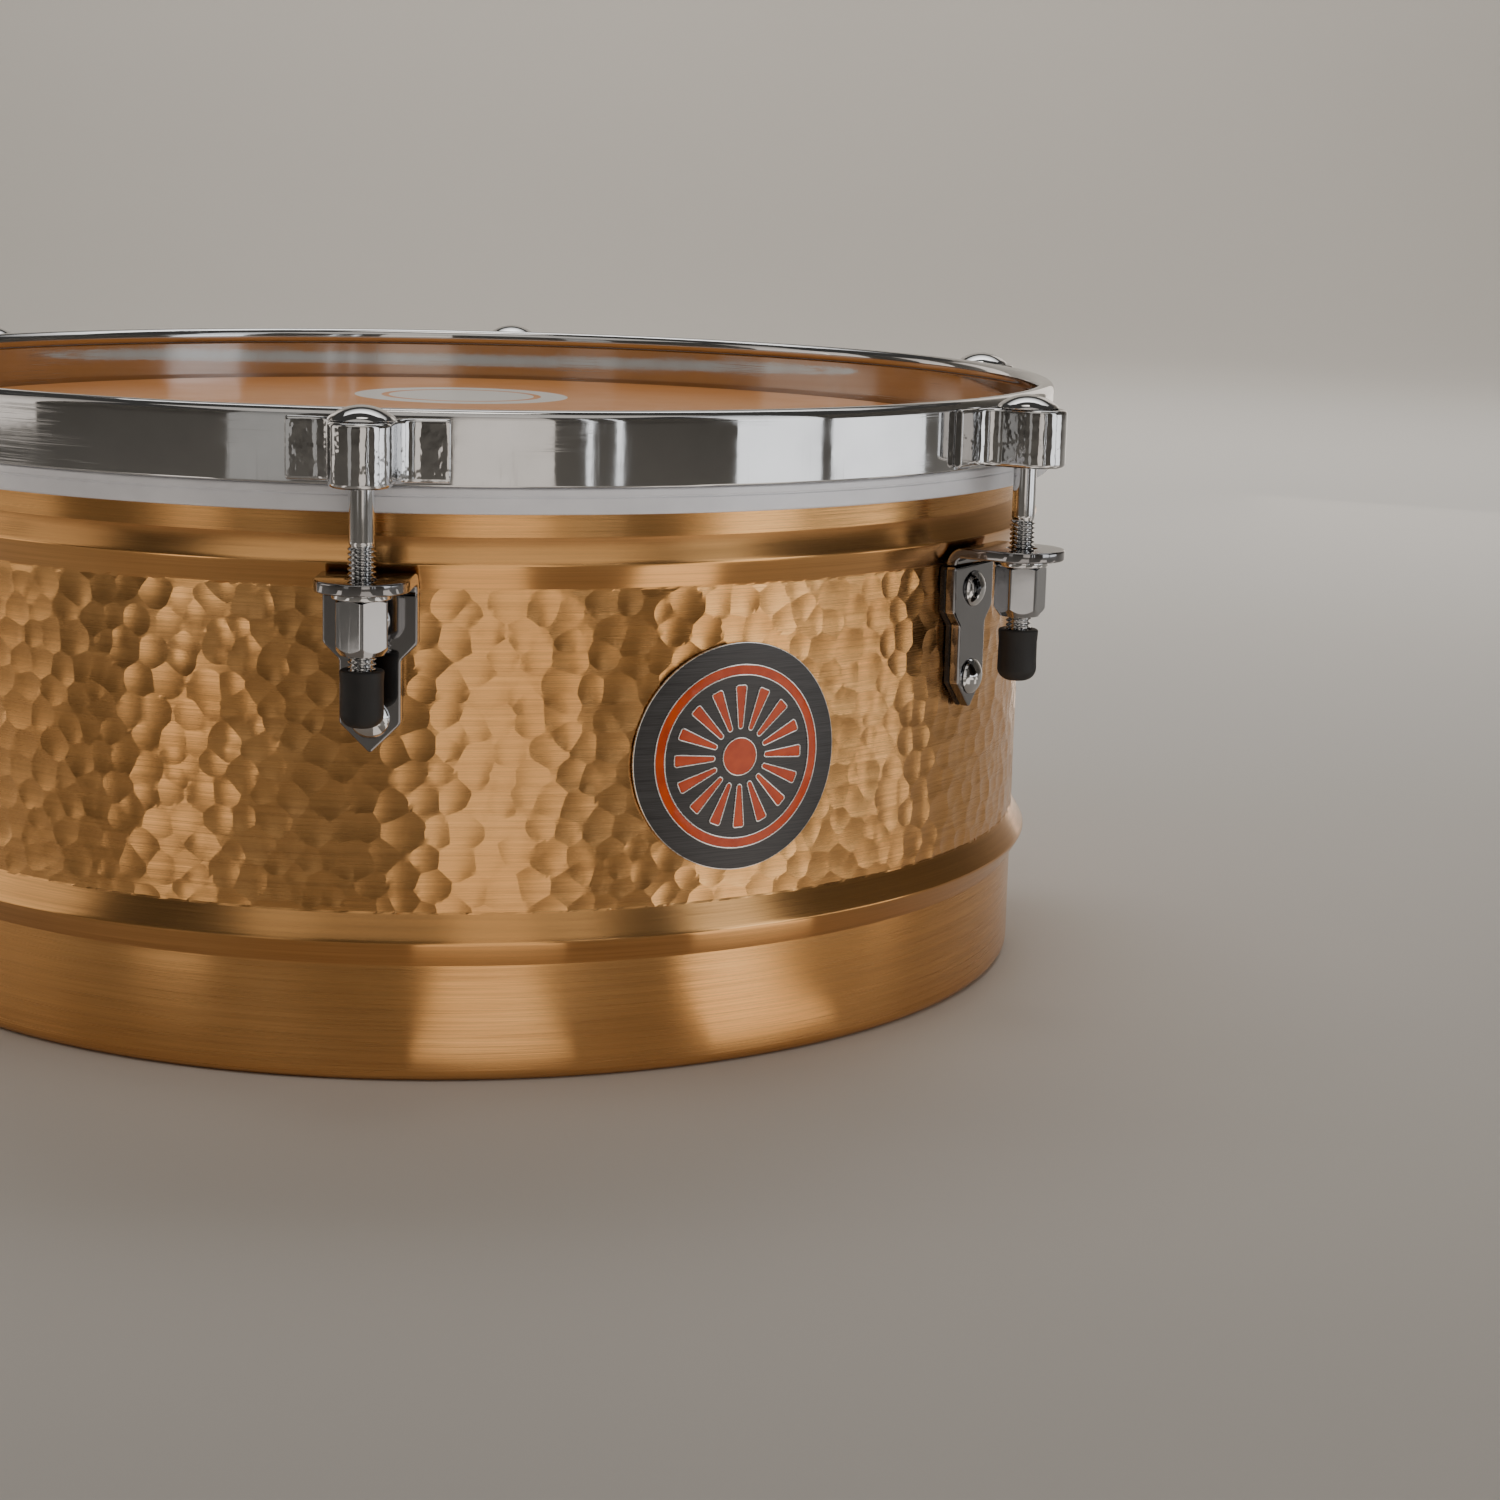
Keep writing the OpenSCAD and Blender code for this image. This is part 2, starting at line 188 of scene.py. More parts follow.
def lathe(profile, segments, closed=False, centre=(0.0, 0.0), swell=None):
    """Turns a profile of (radius, height) about a vertical axis. Anticlockwise profiles, seen with the
    axis on the left, face outward. swell(angles, radius, height) may change a ring's radii."""
    angles = np.linspace(0, 2 * math.pi, segments, endpoint=False)
    verts, rings = [], []
    for r, z in profile:
        if r < 1e-6:
            rings.append([len(verts)])
            verts.append((centre[0], centre[1], z))
            continue
        radii, heights = (r, z) if swell is None else swell(angles, r, z)
        ring = np.column_stack([
            centre[0] + radii * np.cos(angles),
            centre[1] + radii * np.sin(angles),
            heights + 0 * angles])
        rings.append(list(range(len(verts), len(verts) + segments)))
        verts.extend(map(tuple, ring))
    faces = []
    pairs = list(zip(rings, rings[1:])) + ([(rings[-1], rings[0])] if closed else [])
    for low, high in pairs:
        for i in range(segments):
            j = (i + 1) % segments
            if len(low) == 1:
                faces.append((low[0], high[j], high[i]))
            elif len(high) == 1:
                faces.append((low[i], low[j], high[0]))
            else:
                faces.append((low[i], low[j], high[j], high[i]))
    return np.array(verts), faces


def round_corners(points, radius, steps=5):
    """A closed outline with each corner cut by an arc."""
    out, count = [], len(points)
    for k in range(count):
        before, here, after = (Vector(points[(k + d) % count]) for d in (-1, 0, 1))
        a, b = (before - here).normalized(), (after - here).normalized()
        half = math.acos(max(-1, min(1, a.dot(b)))) / 2
        if half > math.radians(80):
            out.append(tuple(here))
            continue
        reach = min(radius / math.tan(half), (before - here).length / 2.1, (after - here).length / 2.1)
        r = reach * math.tan(half)
        centre = here + (a + b).normalized() * (r / math.sin(half))
        start, end = here + a * reach - centre, here + b * reach - centre
        turn = start.angle_signed(end)
        for s in range(steps + 1):
            c, q = math.cos(-turn * s / steps), math.sin(-turn * s / steps)
            out.append((centre.x + c * start.x - q * start.y, centre.y + q * start.x + c * start.y))
    return out


def area_of(loop):
    """A closed outline's area, positive when it runs anticlockwise."""
    p = np.asarray(loop)
    q = np.roll(p, -1, axis=0)
    return 0.5 * float(np.sum(p[:, 0] * q[:, 1] - q[:, 0] * p[:, 1]))


def unit(vectors):
    return vectors / np.linalg.norm(vectors, axis=-1, keepdims=True)


def inset(loop, distance):
    """A closed outline moved towards its left by distance, each corner mitred."""
    p = np.asarray(loop, float)
    before, after = np.roll(p, 1, axis=0), np.roll(p, -1, axis=0)
    sharpest = 0.4
    n1, n2 = (unit(np.column_stack([-d[:, 1], d[:, 0]])) for d in (p - before, after - p))
    mid = unit(n1 + n2)
    grow = 1 / np.maximum(np.sum(mid * n1, axis=1), sharpest)
    return p + mid * (distance * grow)[:, None]


def sheet(outer, holes, thickness, edge_r, place, inner_points=(), steps=3, back_edge=True):
    """A flat piece with rounded edges: an outline with holes, a thickness, and place(u, v, w), which puts a
    point of the flat pattern and its height w, from -thickness / 2 to thickness / 2, into the frame."""
    loops = [np.asarray(outer if area_of(outer) > 0 else outer[::-1], float)]
    loops += [np.asarray(h if area_of(h) < 0 else h[::-1], float) for h in holes]
    turns = [math.pi / 2 * k / steps for k in range(steps + 1)]
    front = [(edge_r * (1 - math.sin(t)), thickness / 2 - edge_r * (1 - math.cos(t))) for t in turns]
    back = [(d, -w) for d, w in reversed(front)] if back_edge else [(0.0, -thickness / 2)]
    rims = front + back
    flat, heights, starts = [], [], []
    for loop in loops:
        starts.append(sum(len(f) for f in flat))
        for d, w in rims:
            flat.append(inset(loop, d))
            heights.append(np.full(len(loop), w))
    faces = []
    for loop, start in zip(loops, starts):
        n = len(loop)
        for k in range(len(rims) - 1):
            a, b = start + k * n, start + (k + 1) * n
            faces += [(b + i, b + (i + 1) % n, a + (i + 1) % n, a + i) for i in range(n)]
    count = sum(len(f) for f in flat)
    extra = np.asarray(inner_points, float).reshape(-1, 2)
    for side, ring in ((1, 0), (-1, len(rims) - 1)):
        index, points, edges = [], [], []
        for loop, start in zip(loops, starts):
            n = len(loop)
            at = len(points)
            rim = inset(loop, rims[ring][0])
            points += [Vector(p) for p in rim]
            index += list(range(start + ring * n, start + ring * n + n))
            edges += [(at + i, at + (i + 1) % n) for i in range(n)]
        points += [Vector(p) for p in extra]
        index += list(range(count, count + len(extra)))
        count += len(extra)
        flat.append(extra)
        heights.append(np.full(len(extra), side * thickness / 2))
        spots, _, tris, source = delaunay_2d_cdt(points, edges, [], 1, 1e-5)[:4]
        for tri in tris:
            a, b, c = (spots[i] for i in tri)
            if not inside(np.mean([a, b, c], axis=0), loops) or any(not source[i] for i in tri):
                continue
            face = tuple(index[source[i][0]] for i in tri)
            up = (b - a).cross(c - a) > 0
            faces.append(face if up == (side > 0) else face[::-1])
    uv = np.vstack(flat)
    verts = np.array([place(u, v, w) for (u, v), w in zip(uv, np.concatenate(heights))])
    return verts, faces


def inside(point, loops):
    """True where the point is in the first outline and in none of the holes."""
    x, y = point
    crossings = 0
    for loop in loops:
        p, q = loop, np.roll(loop, -1, axis=0)
        spans = (p[:, 1] > y) != (q[:, 1] > y)
        dy = np.where(spans, q[:, 1] - p[:, 1], 1.0)
        at = p[:, 0] + (y - p[:, 1]) / dy * (q[:, 0] - p[:, 0])
        crossings += int(np.sum(spans & (at > x)))
    return crossings % 2 == 1


# ---- Material tools ----

def put(node, **values):
    """Sets a node's inputs by name, with _ in place of a space."""
    for key, value in values.items():
        node.inputs[key.replace("_", " ")].default_value = value


class Nodes:
    """Short hand for building a material's node tree."""

    def __init__(self, name):
        self.material = bpy.data.materials.new(name)
        self.material.use_nodes = True
        self.tree = self.material.node_tree
        self.shader = self.tree.nodes["Principled BSDF"]

    def add(self, kind, **values):
        node = self.tree.nodes.new("ShaderNode" + kind)
        for key, value in values.items():
            setattr(node, key, value)
        return node

    def link(self, source, target):
        self.tree.links.new(source, target)

    def feed(self, value, socket):
        """Gives a socket a number, a colour or another socket's output."""
        if isinstance(value, (int, float)):
            socket.default_value = value
        elif isinstance(value, tuple):
            socket.default_value = (*value, 1.0)
        else:
            self.link(value, socket)

    def math(self, operation, *values):
        node = self.add("Math", operation=operation)
        for socket, value in zip(node.inputs, values):
            self.feed(value, socket)
        return node.outputs[0]

    def length(self, x, y):
        """The length of the vector x, y."""
        return self.math("SQRT", self.math("ADD", self.math("MULTIPLY", x, x), self.math("MULTIPLY", y, y)))

    def place(self):
        """The object's own coordinates, in metres, as x, y, z and as one vector."""
        vector = self.add("TexCoord").outputs["Object"]
        split = self.add("SeparateXYZ")
        self.link(vector, split.inputs[0])
        return split.outputs[0], split.outputs[1], split.outputs[2], vector

    def around(self, radius):
        """Coordinates along the circumference, along the radius and up, in metres."""
        x, y, z, _ = self.place()
        turn = self.math("ARCTAN2", x, self.math("MULTIPLY", y, -1.0))
        along = self.math("MULTIPLY", turn, radius * MM)
        join = self.add("CombineXYZ")
        for socket, source in zip(join.inputs, (along, self.length(x, y), z)):
            self.link(source, socket)
        return join.outputs[0]

    def noise(self, vector, stretch, detail=2.0, roughness=0.5, turn=0.0):
        """Noise whose features measure 1 / stretch metres, one number or three, along each coordinate."""
        mapping, node = self.add("Mapping"), self.add("TexNoise")
        scale = stretch if isinstance(stretch, tuple) else (stretch,) * 3
        put(mapping, Scale=scale, Rotation=(0.0, turn, 0.0))
        put(node, Scale=1.0, Detail=detail, Roughness=roughness)
        self.link(vector, mapping.inputs["Vector"])
        self.link(mapping.outputs[0], node.inputs["Vector"])
        return node.outputs["Fac"]

    def ramp(self, source, low, high, from_min=0.3, from_max=0.7):
        """A number that runs from low to high as source runs between two values."""
        node = self.add("MapRange")
        put(node, From_Min=from_min, From_Max=from_max, To_Min=low, To_Max=high)
        self.link(source, node.inputs["Value"])
        return node.outputs[0]

    def mix(self, factor, a, b):
        """A colour between a and b, each a colour or a socket."""
        node = self.add("Mix", data_type="RGBA")
        self.link(factor, node.inputs["Factor"])
        for name, value in (("A", a), ("B", b)):
            self.feed(value, next(s for s in node.inputs if s.name == name and s.type == "RGBA"))
        return next(s for s in node.outputs if s.type == "RGBA")

    def mottle(self, source, a, b):
        """The colour a where source is low and b where it is high."""
        return self.mix(self.ramp(source, 0.0, 1.0), a, b)

    def bump(self, height, depth, normal=None):
        """A bump whose height socket, from 0 to 1, spans depth metres."""
        node = self.add("Bump")
        put(node, Strength=1.0, Distance=depth)
        self.link(height, node.inputs["Height"])
        if normal is not None:
            self.link(normal, node.inputs["Normal"])
        return node.outputs[0]

    def finish(self, colour, rough, normal, **values):
        """Links the shader's colour, roughness and normal, sets its other values and gives the material."""
        for socket, source in (("Base Color", colour), ("Roughness", rough), ("Normal", normal)):
            self.link(source, self.shader.inputs[socket])
        put(self.shader, **values)
        return self.material


def brushed(n, vector, line_depth, fine=6500.0, coarse=2600.0, length=28.0):
    """Brush marks that run round the drum: two sets of fine lines that lean slightly, and their height."""
    rising = n.noise(vector, (length, 1.0, fine), 2.0, 0.6, math.radians(0.35))
    falling = n.noise(vector, (length * 0.8, 1.0, coarse), 3.0, 0.6, math.radians(-0.7))
    lines = n.math("ADD", n.math("MULTIPLY", rising, 0.5), n.math("MULTIPLY", falling, 0.5))
    return lines, n.bump(lines, line_depth)


def bronze(name, polish):
    """Brushed bronze sheet. polish from 0, freshly brushed, to 1, nearly a mirror."""
    n = Nodes(name)
    around = n.around(SHELL_R)
    lines, normal = brushed(n, around, 0.000022 * (1.0 - 0.75 * polish))
    clouds = n.noise(around, (14.0, 1.0, 22.0), 3.0)
    streaks = n.noise(around, (9.0, 1.0, 700.0))
    warm = n.mottle(clouds, (0.81, 0.45, 0.175), (0.73, 0.37, 0.125))
    deep = n.mix(n.ramp(streaks, 0.0, 0.55, 0.35, 0.75), warm, (0.56, 0.295, 0.115))
    marks = n.mix(n.ramp(lines, 0.0, 0.45 * (1 - 0.6 * polish), 0.45, 0.68), deep, (0.36, 0.19, 0.075))
    rough = n.ramp(lines, 0.17 - 0.06 * polish, 0.33 - 0.14 * polish)
    tangent = n.add("Tangent", direction_type="RADIAL", axis="Z")
    n.link(tangent.outputs[0], n.shader.inputs["Tangent"])
    return n.finish(marks, rough, normal,
                    Metallic=1.0, Anisotropic=0.85 - 0.3 * polish, Anisotropic_Rotation=0.25)


def chrome(name, colour=(0.56, 0.565, 0.575), rough=0.045, lumps=0.0, scratches=0.0):
    """Polished chrome plate with faint haze and hair scratches. lumps is the height in metres of a cast
    surface's waves, and scratches the roughness of fine lines that run round the drum in patches."""
    n = Nodes(name)
    vector = n.place()[3]
    haze = n.noise(vector, 90.0, 3.0)
    hairs = n.noise(vector, (1500.0, 1500.0, 60.0))
    spread = n.math("ADD", n.ramp(haze, rough * 0.6, rough * 1.5), n.ramp(hairs, 0.0, 0.05, 0.6, 0.75))
    normal = n.bump(haze, 0.00002, n.bump(hairs, 0.0000012))
    if scratches:
        around = n.around(HOOP_R)
        lines = n.noise(around, (30.0, 1.0, 5200.0), 2.0, 0.6, math.radians(0.6))
        patches = n.ramp(n.noise(around, (26.0, 1.0, 60.0)), 0.0, 1.0, 0.52, 0.66)
        worn = n.math("MULTIPLY", n.ramp(lines, 0.0, scratches, 0.5, 0.72), patches)
        spread = n.math("ADD", spread, worn)
    if lumps:
        normal = n.bump(n.noise(vector, (290.0, 290.0, 200.0)), lumps, normal)
    return n.finish(n.mottle(haze, colour, tuple(c * 0.93 for c in colour)), spread, normal, Metallic=1.0)


def satin_aluminium(name):
    """Turned aluminium with faint blotches."""
    n = Nodes(name)
    around = n.around(HOOP_R)
    lines, normal = brushed(n, around, 0.000012, 5200.0, 2000.0, 12.0)
    blotch = n.noise(around, (60.0, 20.0, 90.0), 3.0)
    colour = n.mottle(blotch, (0.88, 0.89, 0.94), (0.78, 0.79, 0.84))
    return n.finish(colour, n.ramp(lines, 0.42, 0.60), normal, Metallic=0.55)


def plated_steel(name):
    """Dull plating on the small parts inside the shell."""
    n = Nodes(name)
    vector = n.place()[3]
    grain = n.noise(vector, 900.0, 3.0)
    colour = n.mottle(n.noise(vector, 120.0, 3.0), (0.58, 0.58, 0.585), (0.44, 0.435, 0.43))
    return n.finish(colour, n.ramp(grain, 0.20, 0.40), n.bump(grain, 0.00002), Metallic=1.0)


def black_rubber(name, rough=0.48):
    """Moulded rubber with a little dust on it."""
    n = Nodes(name)
    vector = n.place()[3]
    grain = n.noise(vector, 2200.0, 3.0)
    dust = n.noise(vector, 160.0, 4.0, 0.6)
    colour = n.mottle(dust, (0.008, 0.008, 0.009), (0.022, 0.021, 0.021))
    return n.finish(colour, n.ramp(dust, rough, rough * 1.5), n.bump(grain, 0.00003), Specular_IOR_Level=0.45)


def gunmetal(name, colour=(0.055, 0.054, 0.055), rough=0.34):
    """Brushed metal of any colour, for the badge."""
    n = Nodes(name)
    lines = n.noise(n.around(SHELL_R), (70.0, 1.0, 4200.0), 2.0, 0.6, math.radians(3.0))
    shades = n.mottle(lines, colour, tuple(c * 1.7 for c in colour))
    return n.finish(shades, n.ramp(lines, rough, rough + 0.16), n.bump(lines, 0.00001), Metallic=1.0)


def enamel(name):
    """Orange enamel under a thin clear coat."""
    n = Nodes(name)
    cloud = n.noise(n.place()[3], 220.0)
    colour = n.mottle(cloud, (0.66, 0.082, 0.012), (0.50, 0.050, 0.008))
    return n.finish(colour, n.ramp(cloud, 0.12, 0.22), n.bump(cloud, 0.00003),
                    Specular_IOR_Level=0.3, Coat_Weight=0.15, Coat_Roughness=0.08)


# The print on the head: its centre, its radius, and the bare ring in it from one radius to another
LABEL_AT = (-7.0, 89.0)
LABEL_R = 36.0
LABEL_GAP = (24.5, 27.0)


def amber_film(name):
    """Honey-coloured film with a plain white ring and spot printed near the far side."""
    n = Nodes(name)
    x, y, _, vector = n.place()
    cloud = n.noise(vector, 16.0, 4.0, 0.6)
    fibre = n.noise(vector, 900.0)
    honey = n.mottle(cloud, (0.78, 0.32, 0.080), (0.66, 0.25, 0.060))
    off = n.length(*(n.math("SUBTRACT", c, at * MM) for c, at in zip((x, y), LABEL_AT)))
    disc = n.math("LESS_THAN", off, LABEL_R * MM)
    ring = n.math("COMPARE", off, sum(LABEL_GAP) / 2 * MM)
    ring.node.inputs[2].default_value = (LABEL_GAP[1] - LABEL_GAP[0]) / 2 * MM
    colour = n.mix(n.math("SUBTRACT", disc, ring), honey, (0.80, 0.78, 0.75))
    normal = n.bump(fibre, 0.000012, n.bump(cloud, 0.0004))
    return n.finish(colour, n.ramp(cloud, 0.30, 0.40), normal, Specular_IOR_Level=0.28)


BRONZE = bronze("bronze_brushed", polish=0.0)
BRONZE_BRIGHT = bronze("bronze_polished", polish=0.4)
CHROME = chrome("chrome")
CHROME_HOOP = chrome("chrome_hoop", scratches=0.35)
CHROME_CAST = chrome("chrome_cast", lumps=0.00012)
# The nuts' chrome is darker than plain chrome: painted shade for the dark surroundings that the nuts mirror.
NUT_CHROME_PAINTED_SHADE = chrome("chrome_nut", (0.40, 0.41, 0.43), 0.06)
# The brackets' chrome is much darker than plain chrome: painted shade for the dark surroundings that the
# brackets mirror.
DARK_CHROME_PAINTED_SHADE = chrome("dark_chrome_painted_shade", (0.28, 0.28, 0.29), 0.05)
ALUMINIUM = satin_aluminium("satin_aluminium")
STEEL = plated_steel("plated_steel")
RUBBER = black_rubber("black_rubber")
GLOSS_RUBBER = black_rubber("gloss_rubber", 0.22)
GUNMETAL = gunmetal("gunmetal")
BADGE_RIM = gunmetal("badge_rim", (0.55, 0.54, 0.52), 0.18)
ENAMEL = enamel("enamel")
FILM = amber_film("amber_film")

# ---- Shell ----

# Points round the hammered zone. The plain parts have half as many.
COLUMNS = 972
BEARING_ROUND = 4.0
LIP_ROUND = 3.0
LIP_FLAT = 2.8
# Each bead's middle height and its own height, and the hammered zone between them
LOW_BEAD = (38.4, 13.7)
HIGH_BEAD = (136.6, 13.1)
ZONE = (LOW_BEAD[0] + LOW_BEAD[1] / 2, HIGH_BEAD[0] - HIGH_BEAD[1] / 2)


def hammer_marks():
    """Blows of a domed hammer over the zone: centre along and up, depth, tilt along and up, and radius of
    each. A first pass covers the zone in rows and a second falls at random."""
    rng = np.random.default_rng(11)
    round_mm = 2 * math.pi * SHELL_R
    pitch, rise, stray, tilt = 8.3, 7.3, 1.9, 0.020
    per_row = int(round_mm / pitch)
    rows = int((ZONE[1] - ZONE[0]) / rise) + 3
    marks = []

    def strike(along, up, depths, radii):
        marks.append((along, up, rng.uniform(*depths), *rng.normal(0, tilt, 2), rng.uniform(*radii)))

    for row in range(rows):
        for k in range(per_row):
            along = (k + 0.5 * (row % 2)) * round_mm / per_row + rng.uniform(-stray, stray)
            up = ZONE[0] - rise + row * rise + rng.uniform(-stray, stray)
            strike(along, up, (0.26, 0.42), (26, 44))
    for _ in range(len(marks) // 4):
        along, up = rng.uniform(0, round_mm), rng.uniform(ZONE[0] - 2, ZONE[1] + 2)
        strike(along, up, (0.40, 0.52), (19, 27))
    return np.array(marks), round_mm


def hammered_grid(rows):
    """Rows of points over the hammered zone, moved so that grid points lie on the ridges between blows.
    Gives their places along and up, their depth, and which of them lie on a ridge."""
    marks, round_mm = hammer_marks()
    cell = round_mm / COLUMNS
    reach = 9.0

    def lowest_two(s, z):
        """At each point the height and slope of the deepest blow and of the second deepest."""
        best, second = np.zeros_like(s), np.full(s.shape, reach)
        slope, slope2 = np.zeros(s.shape + (2,)), np.zeros(s.shape + (2,))
        for along, up, depth, tilt_s, tilt_z, radius in marks:
            r0, r1 = np.searchsorted(rows, [up - reach, up + reach])
            if r0 == r1:
                continue
            c0, c1 = int((along - reach) / cell) - 2, int((along + reach) / cell) + 3
            at = np.ix_(np.arange(r0, r1), np.arange(c0, c1) % COLUMNS)
            ds = (s[at] - along + round_mm / 2) % round_mm - round_mm / 2
            dz = z[at] - up
            h = -depth + tilt_s * ds + tilt_z * dz + (ds * ds + dz * dz) / (2 * radius)
            g = np.stack([tilt_s + ds / radius, tilt_z + dz / radius], -1)
            old, old_g = best[at], slope[at]
            first = h < old
            middle = ~first & (h < second[at])
            second[at] = np.where(first, old, np.where(middle, h, second[at]))
            slope2[at] = np.where(first[..., None], old_g, np.where(middle[..., None], g, slope2[at]))
            best[at] = np.where(first, h, old)
            slope[at] = np.where(first[..., None], g, old_g)
        return best, slope, second, slope2

    s = np.repeat(np.linspace(0, round_mm, COLUMNS, endpoint=False)[None, :], len(rows), 0)
    z = np.repeat(np.asarray(rows, float)[:, None], COLUMNS, 1)
    for _ in range(2):
        best, slope, second, slope2 = lowest_two(s, z)
        pull = slope2 - slope
        steepness = np.maximum(np.sum(pull * pull, -1), 1e-6)
        move = -pull * ((second - best) / steepness)[..., None]
        near = np.sqrt(np.sum(move * move, -1)) < 0.52 * cell
        near[0] = near[-1] = False
        s = np.where(near, s + move[..., 0], s)
        z = np.where(near, z + move[..., 1], z)
    depth = lowest_two(s, z)[0]
    # the marks fade out over the last row at each bead
    depth[0] = depth[-1] = 0.0
    return s, z, depth, near


def bead_profile(bead, r, soft=1.1):
    """Up over one bead from radius r: lower bevel, a ridge that is round within soft, upper bevel."""
    mid, tall = bead
    run = tall / 2
    points = [(r, mid - run)]
    for d in np.linspace(-soft, soft, 9):
        points.append((r + (BEAD_R - SHELL_R) * (1 - math.hypot(d, 0.3 * soft) / run), mid + d))
    return points + [(r, mid + run)]


def shell_outline():
    """The shell's section in two runs: from the inner lip up to the hammered zone, and from there over
    the bearing edge and down the inside. The holds are where straight stretches stop short of a bend."""
    hold, bead_hold, edge_hold, lip_edge = 0.6, 0.95, 0.4, 0.25
    lip_r, inner_r = SHELL_R - LIP_ROUND - LIP_FLAT, SHELL_R - WALL
    edge = (SHELL_R - BEARING_ROUND, shell_span.z1 - BEARING_ROUND)
    low, high = bead_profile(LOW_BEAD, SHELL_R), bead_profile(HIGH_BEAD, SHELL_R)
    below = [(lip_r, WALL), (lip_r, lip_edge), (lip_r + lip_edge, 0.0)]
    below += rounded(SHELL_R, 0.0, LIP_ROUND, -90, 7)
    below += [(SHELL_R, LIP_ROUND + hold), (SHELL_R, low[0][1] - bead_hold)] + low
    above = high + [(SHELL_R, high[-1][1] + hold), (SHELL_R, edge[1] - edge_hold)]
    above += arc(*edge, BEARING_ROUND, 0, 125, 12) + arc(*edge, BEARING_ROUND - WALL, 125, 0, 6)
    above += bead_profile(HIGH_BEAD, inner_r)[::-1] + bead_profile(LOW_BEAD, inner_r)[::-1]
    above += [(inner_r, LIP_ROUND)] + arc(SHELL_R - LIP_ROUND, LIP_ROUND, LIP_ROUND - WALL, 0, -90, 4)[1:]
    return below, above


def shell_mesh():
    """One closed skin: outside from the lip up over the bearing edge, then down the inside. Gives the
    mesh and each face's material number."""
    coarse = COLUMNS // 2
    angles = np.linspace(0, 2 * math.pi, coarse, endpoint=False)
    zone_rows = np.concatenate([[ZONE[0]], np.linspace(ZONE[0] + 0.5, ZONE[1] - 0.5, 79), [ZONE[1]]])
    s, z, depth, on_ridge = hammered_grid(zone_rows)
    below, above = shell_outline()
    verts, faces, pattern = [], [], []

    def add_faces(new, kind=0):
        faces.extend(new)
        pattern.extend([kind] * len(new))

    def join_rings(a, b, kind=0):
        add_faces([(a + i, a + (i + 1) % coarse, b + (i + 1) % coarse, b + i) for i in range(coarse)], kind)

    def add_run(run):
        """Rings along a run of the outline, joined. The outsides of the beads are polished brighter."""
        rings = []
        for r, height in run:
            rings.append(len(verts))
            verts.extend(zip(r * np.sin(angles), -r * np.cos(angles), np.full(coarse, height)))
        for k, ((r0, h0), (r1, h1)) in enumerate(zip(run, run[1:])):
            on_bead = any(abs((h0 + h1) / 2 - mid) < tall / 2 for mid, tall in (LOW_BEAD, HIGH_BEAD))
            join_rings(rings[k], rings[k + 1], int(on_bead and max(r0, r1) > SHELL_R - 0.1))
        return rings

    def weld(ring, row, row_above):
        """Triangles between a coarse ring and the hammered zone's first or last row."""
        for i in range(coarse):
            f0, f1, f2 = (row + (2 * i + d) % COLUMNS for d in range(3))
            c0, c1 = ring + i, ring + (i + 1) % coarse
            tris = [(c0, c1, f1), (c0, f1, f0), (c1, f2, f1)]
            add_faces(tris if row_above else [tri[::-1] for tri in tris])

    low_rings = add_run(below)
    first = len(verts)
    turn, r = s / SHELL_R, SHELL_R + depth
    verts.extend(map(tuple, np.stack([r * np.sin(turn), -r * np.cos(turn), z], -1).reshape(-1, 3)))
    last = len(zone_rows) - 1
    for k in range(last):
        for i in range(COLUMNS):
            j = (i + 1) % COLUMNS
            a, b = first + k * COLUMNS + i, first + k * COLUMNS + j
            c, d = b + COLUMNS, a + COLUMNS
            falling = on_ridge[k, j] and on_ridge[k + 1, i]
            rising = on_ridge[k, i] and on_ridge[k + 1, j]
            add_faces([(a, b, d), (b, c, d)] if falling and not rising else [(a, b, c), (a, c, d)])
    high_rings = add_run(above)
    weld(low_rings[-1], first, True)
    weld(high_rings[0], first + last * COLUMNS, False)
    join_rings(high_rings[-1], low_rings[0])
    return (verts, faces), pattern


def make_shell():
    mesh, pattern = shell_mesh()
    add_piece("hammered_shell", mesh, SHELL_BODY, "hammered_bronze", [BRONZE, BRONZE_BRIGHT], ["shell"],
              pattern, sharp=6.0, even=False)


# ---- Head and hoops ----

def make_head():
    """The film: flat, over the bearing edge, down to the flesh hoop's slot. Its edge is laid out from the
    flesh hoop's height at rest.
    """
    gap = 0.05
    leave = 79.6
    thick = film_span.z1 - shell_span.z1 - gap
    edge = (SHELL_R - BEARING_ROUND, shell_span.z1 - BEARING_ROUND)
    low, high = BEARING_ROUND + gap, BEARING_ROUND + gap + thick
    out_r, in_r = film_span.x1, film_span.x1 - thick
    turn_z = flesh_span.z1 + 0.74
    flats = list(np.linspace(0, edge[0] - 1.0, 24))

    def slope(start, r, z, shares):
        return [(start[0] + (r - start[0]) * t, start[1] + (z - start[1]) * t) for t in shares]

    top = [(r, film_span.z1) for r in flats] + arc(*edge, high, 90, leave, 4)
    top += slope(top[-1], out_r, turn_z + 0.15, (0.25, 0.5, 0.75, 0.96))
    top += [(out_r, turn_z - 0.15), (out_r, film_span.z0)]
    under = [(in_r, film_span.z0), (in_r, turn_z - 0.35)]
    under += slope(arc(*edge, low, leave, leave, 1)[0], in_r, turn_z - 0.15, (0.9, 0.5))
    under += arc(*edge, low, leave, 90, 4) + [(r, film_span.z1 - thick) for r in flats[::-1]]
    film = add_piece("film_head", lathe((top + under)[::-1], 360), None, "amber_film", [FILM], ["head_film"],
                     sharp=0)
    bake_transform(film)


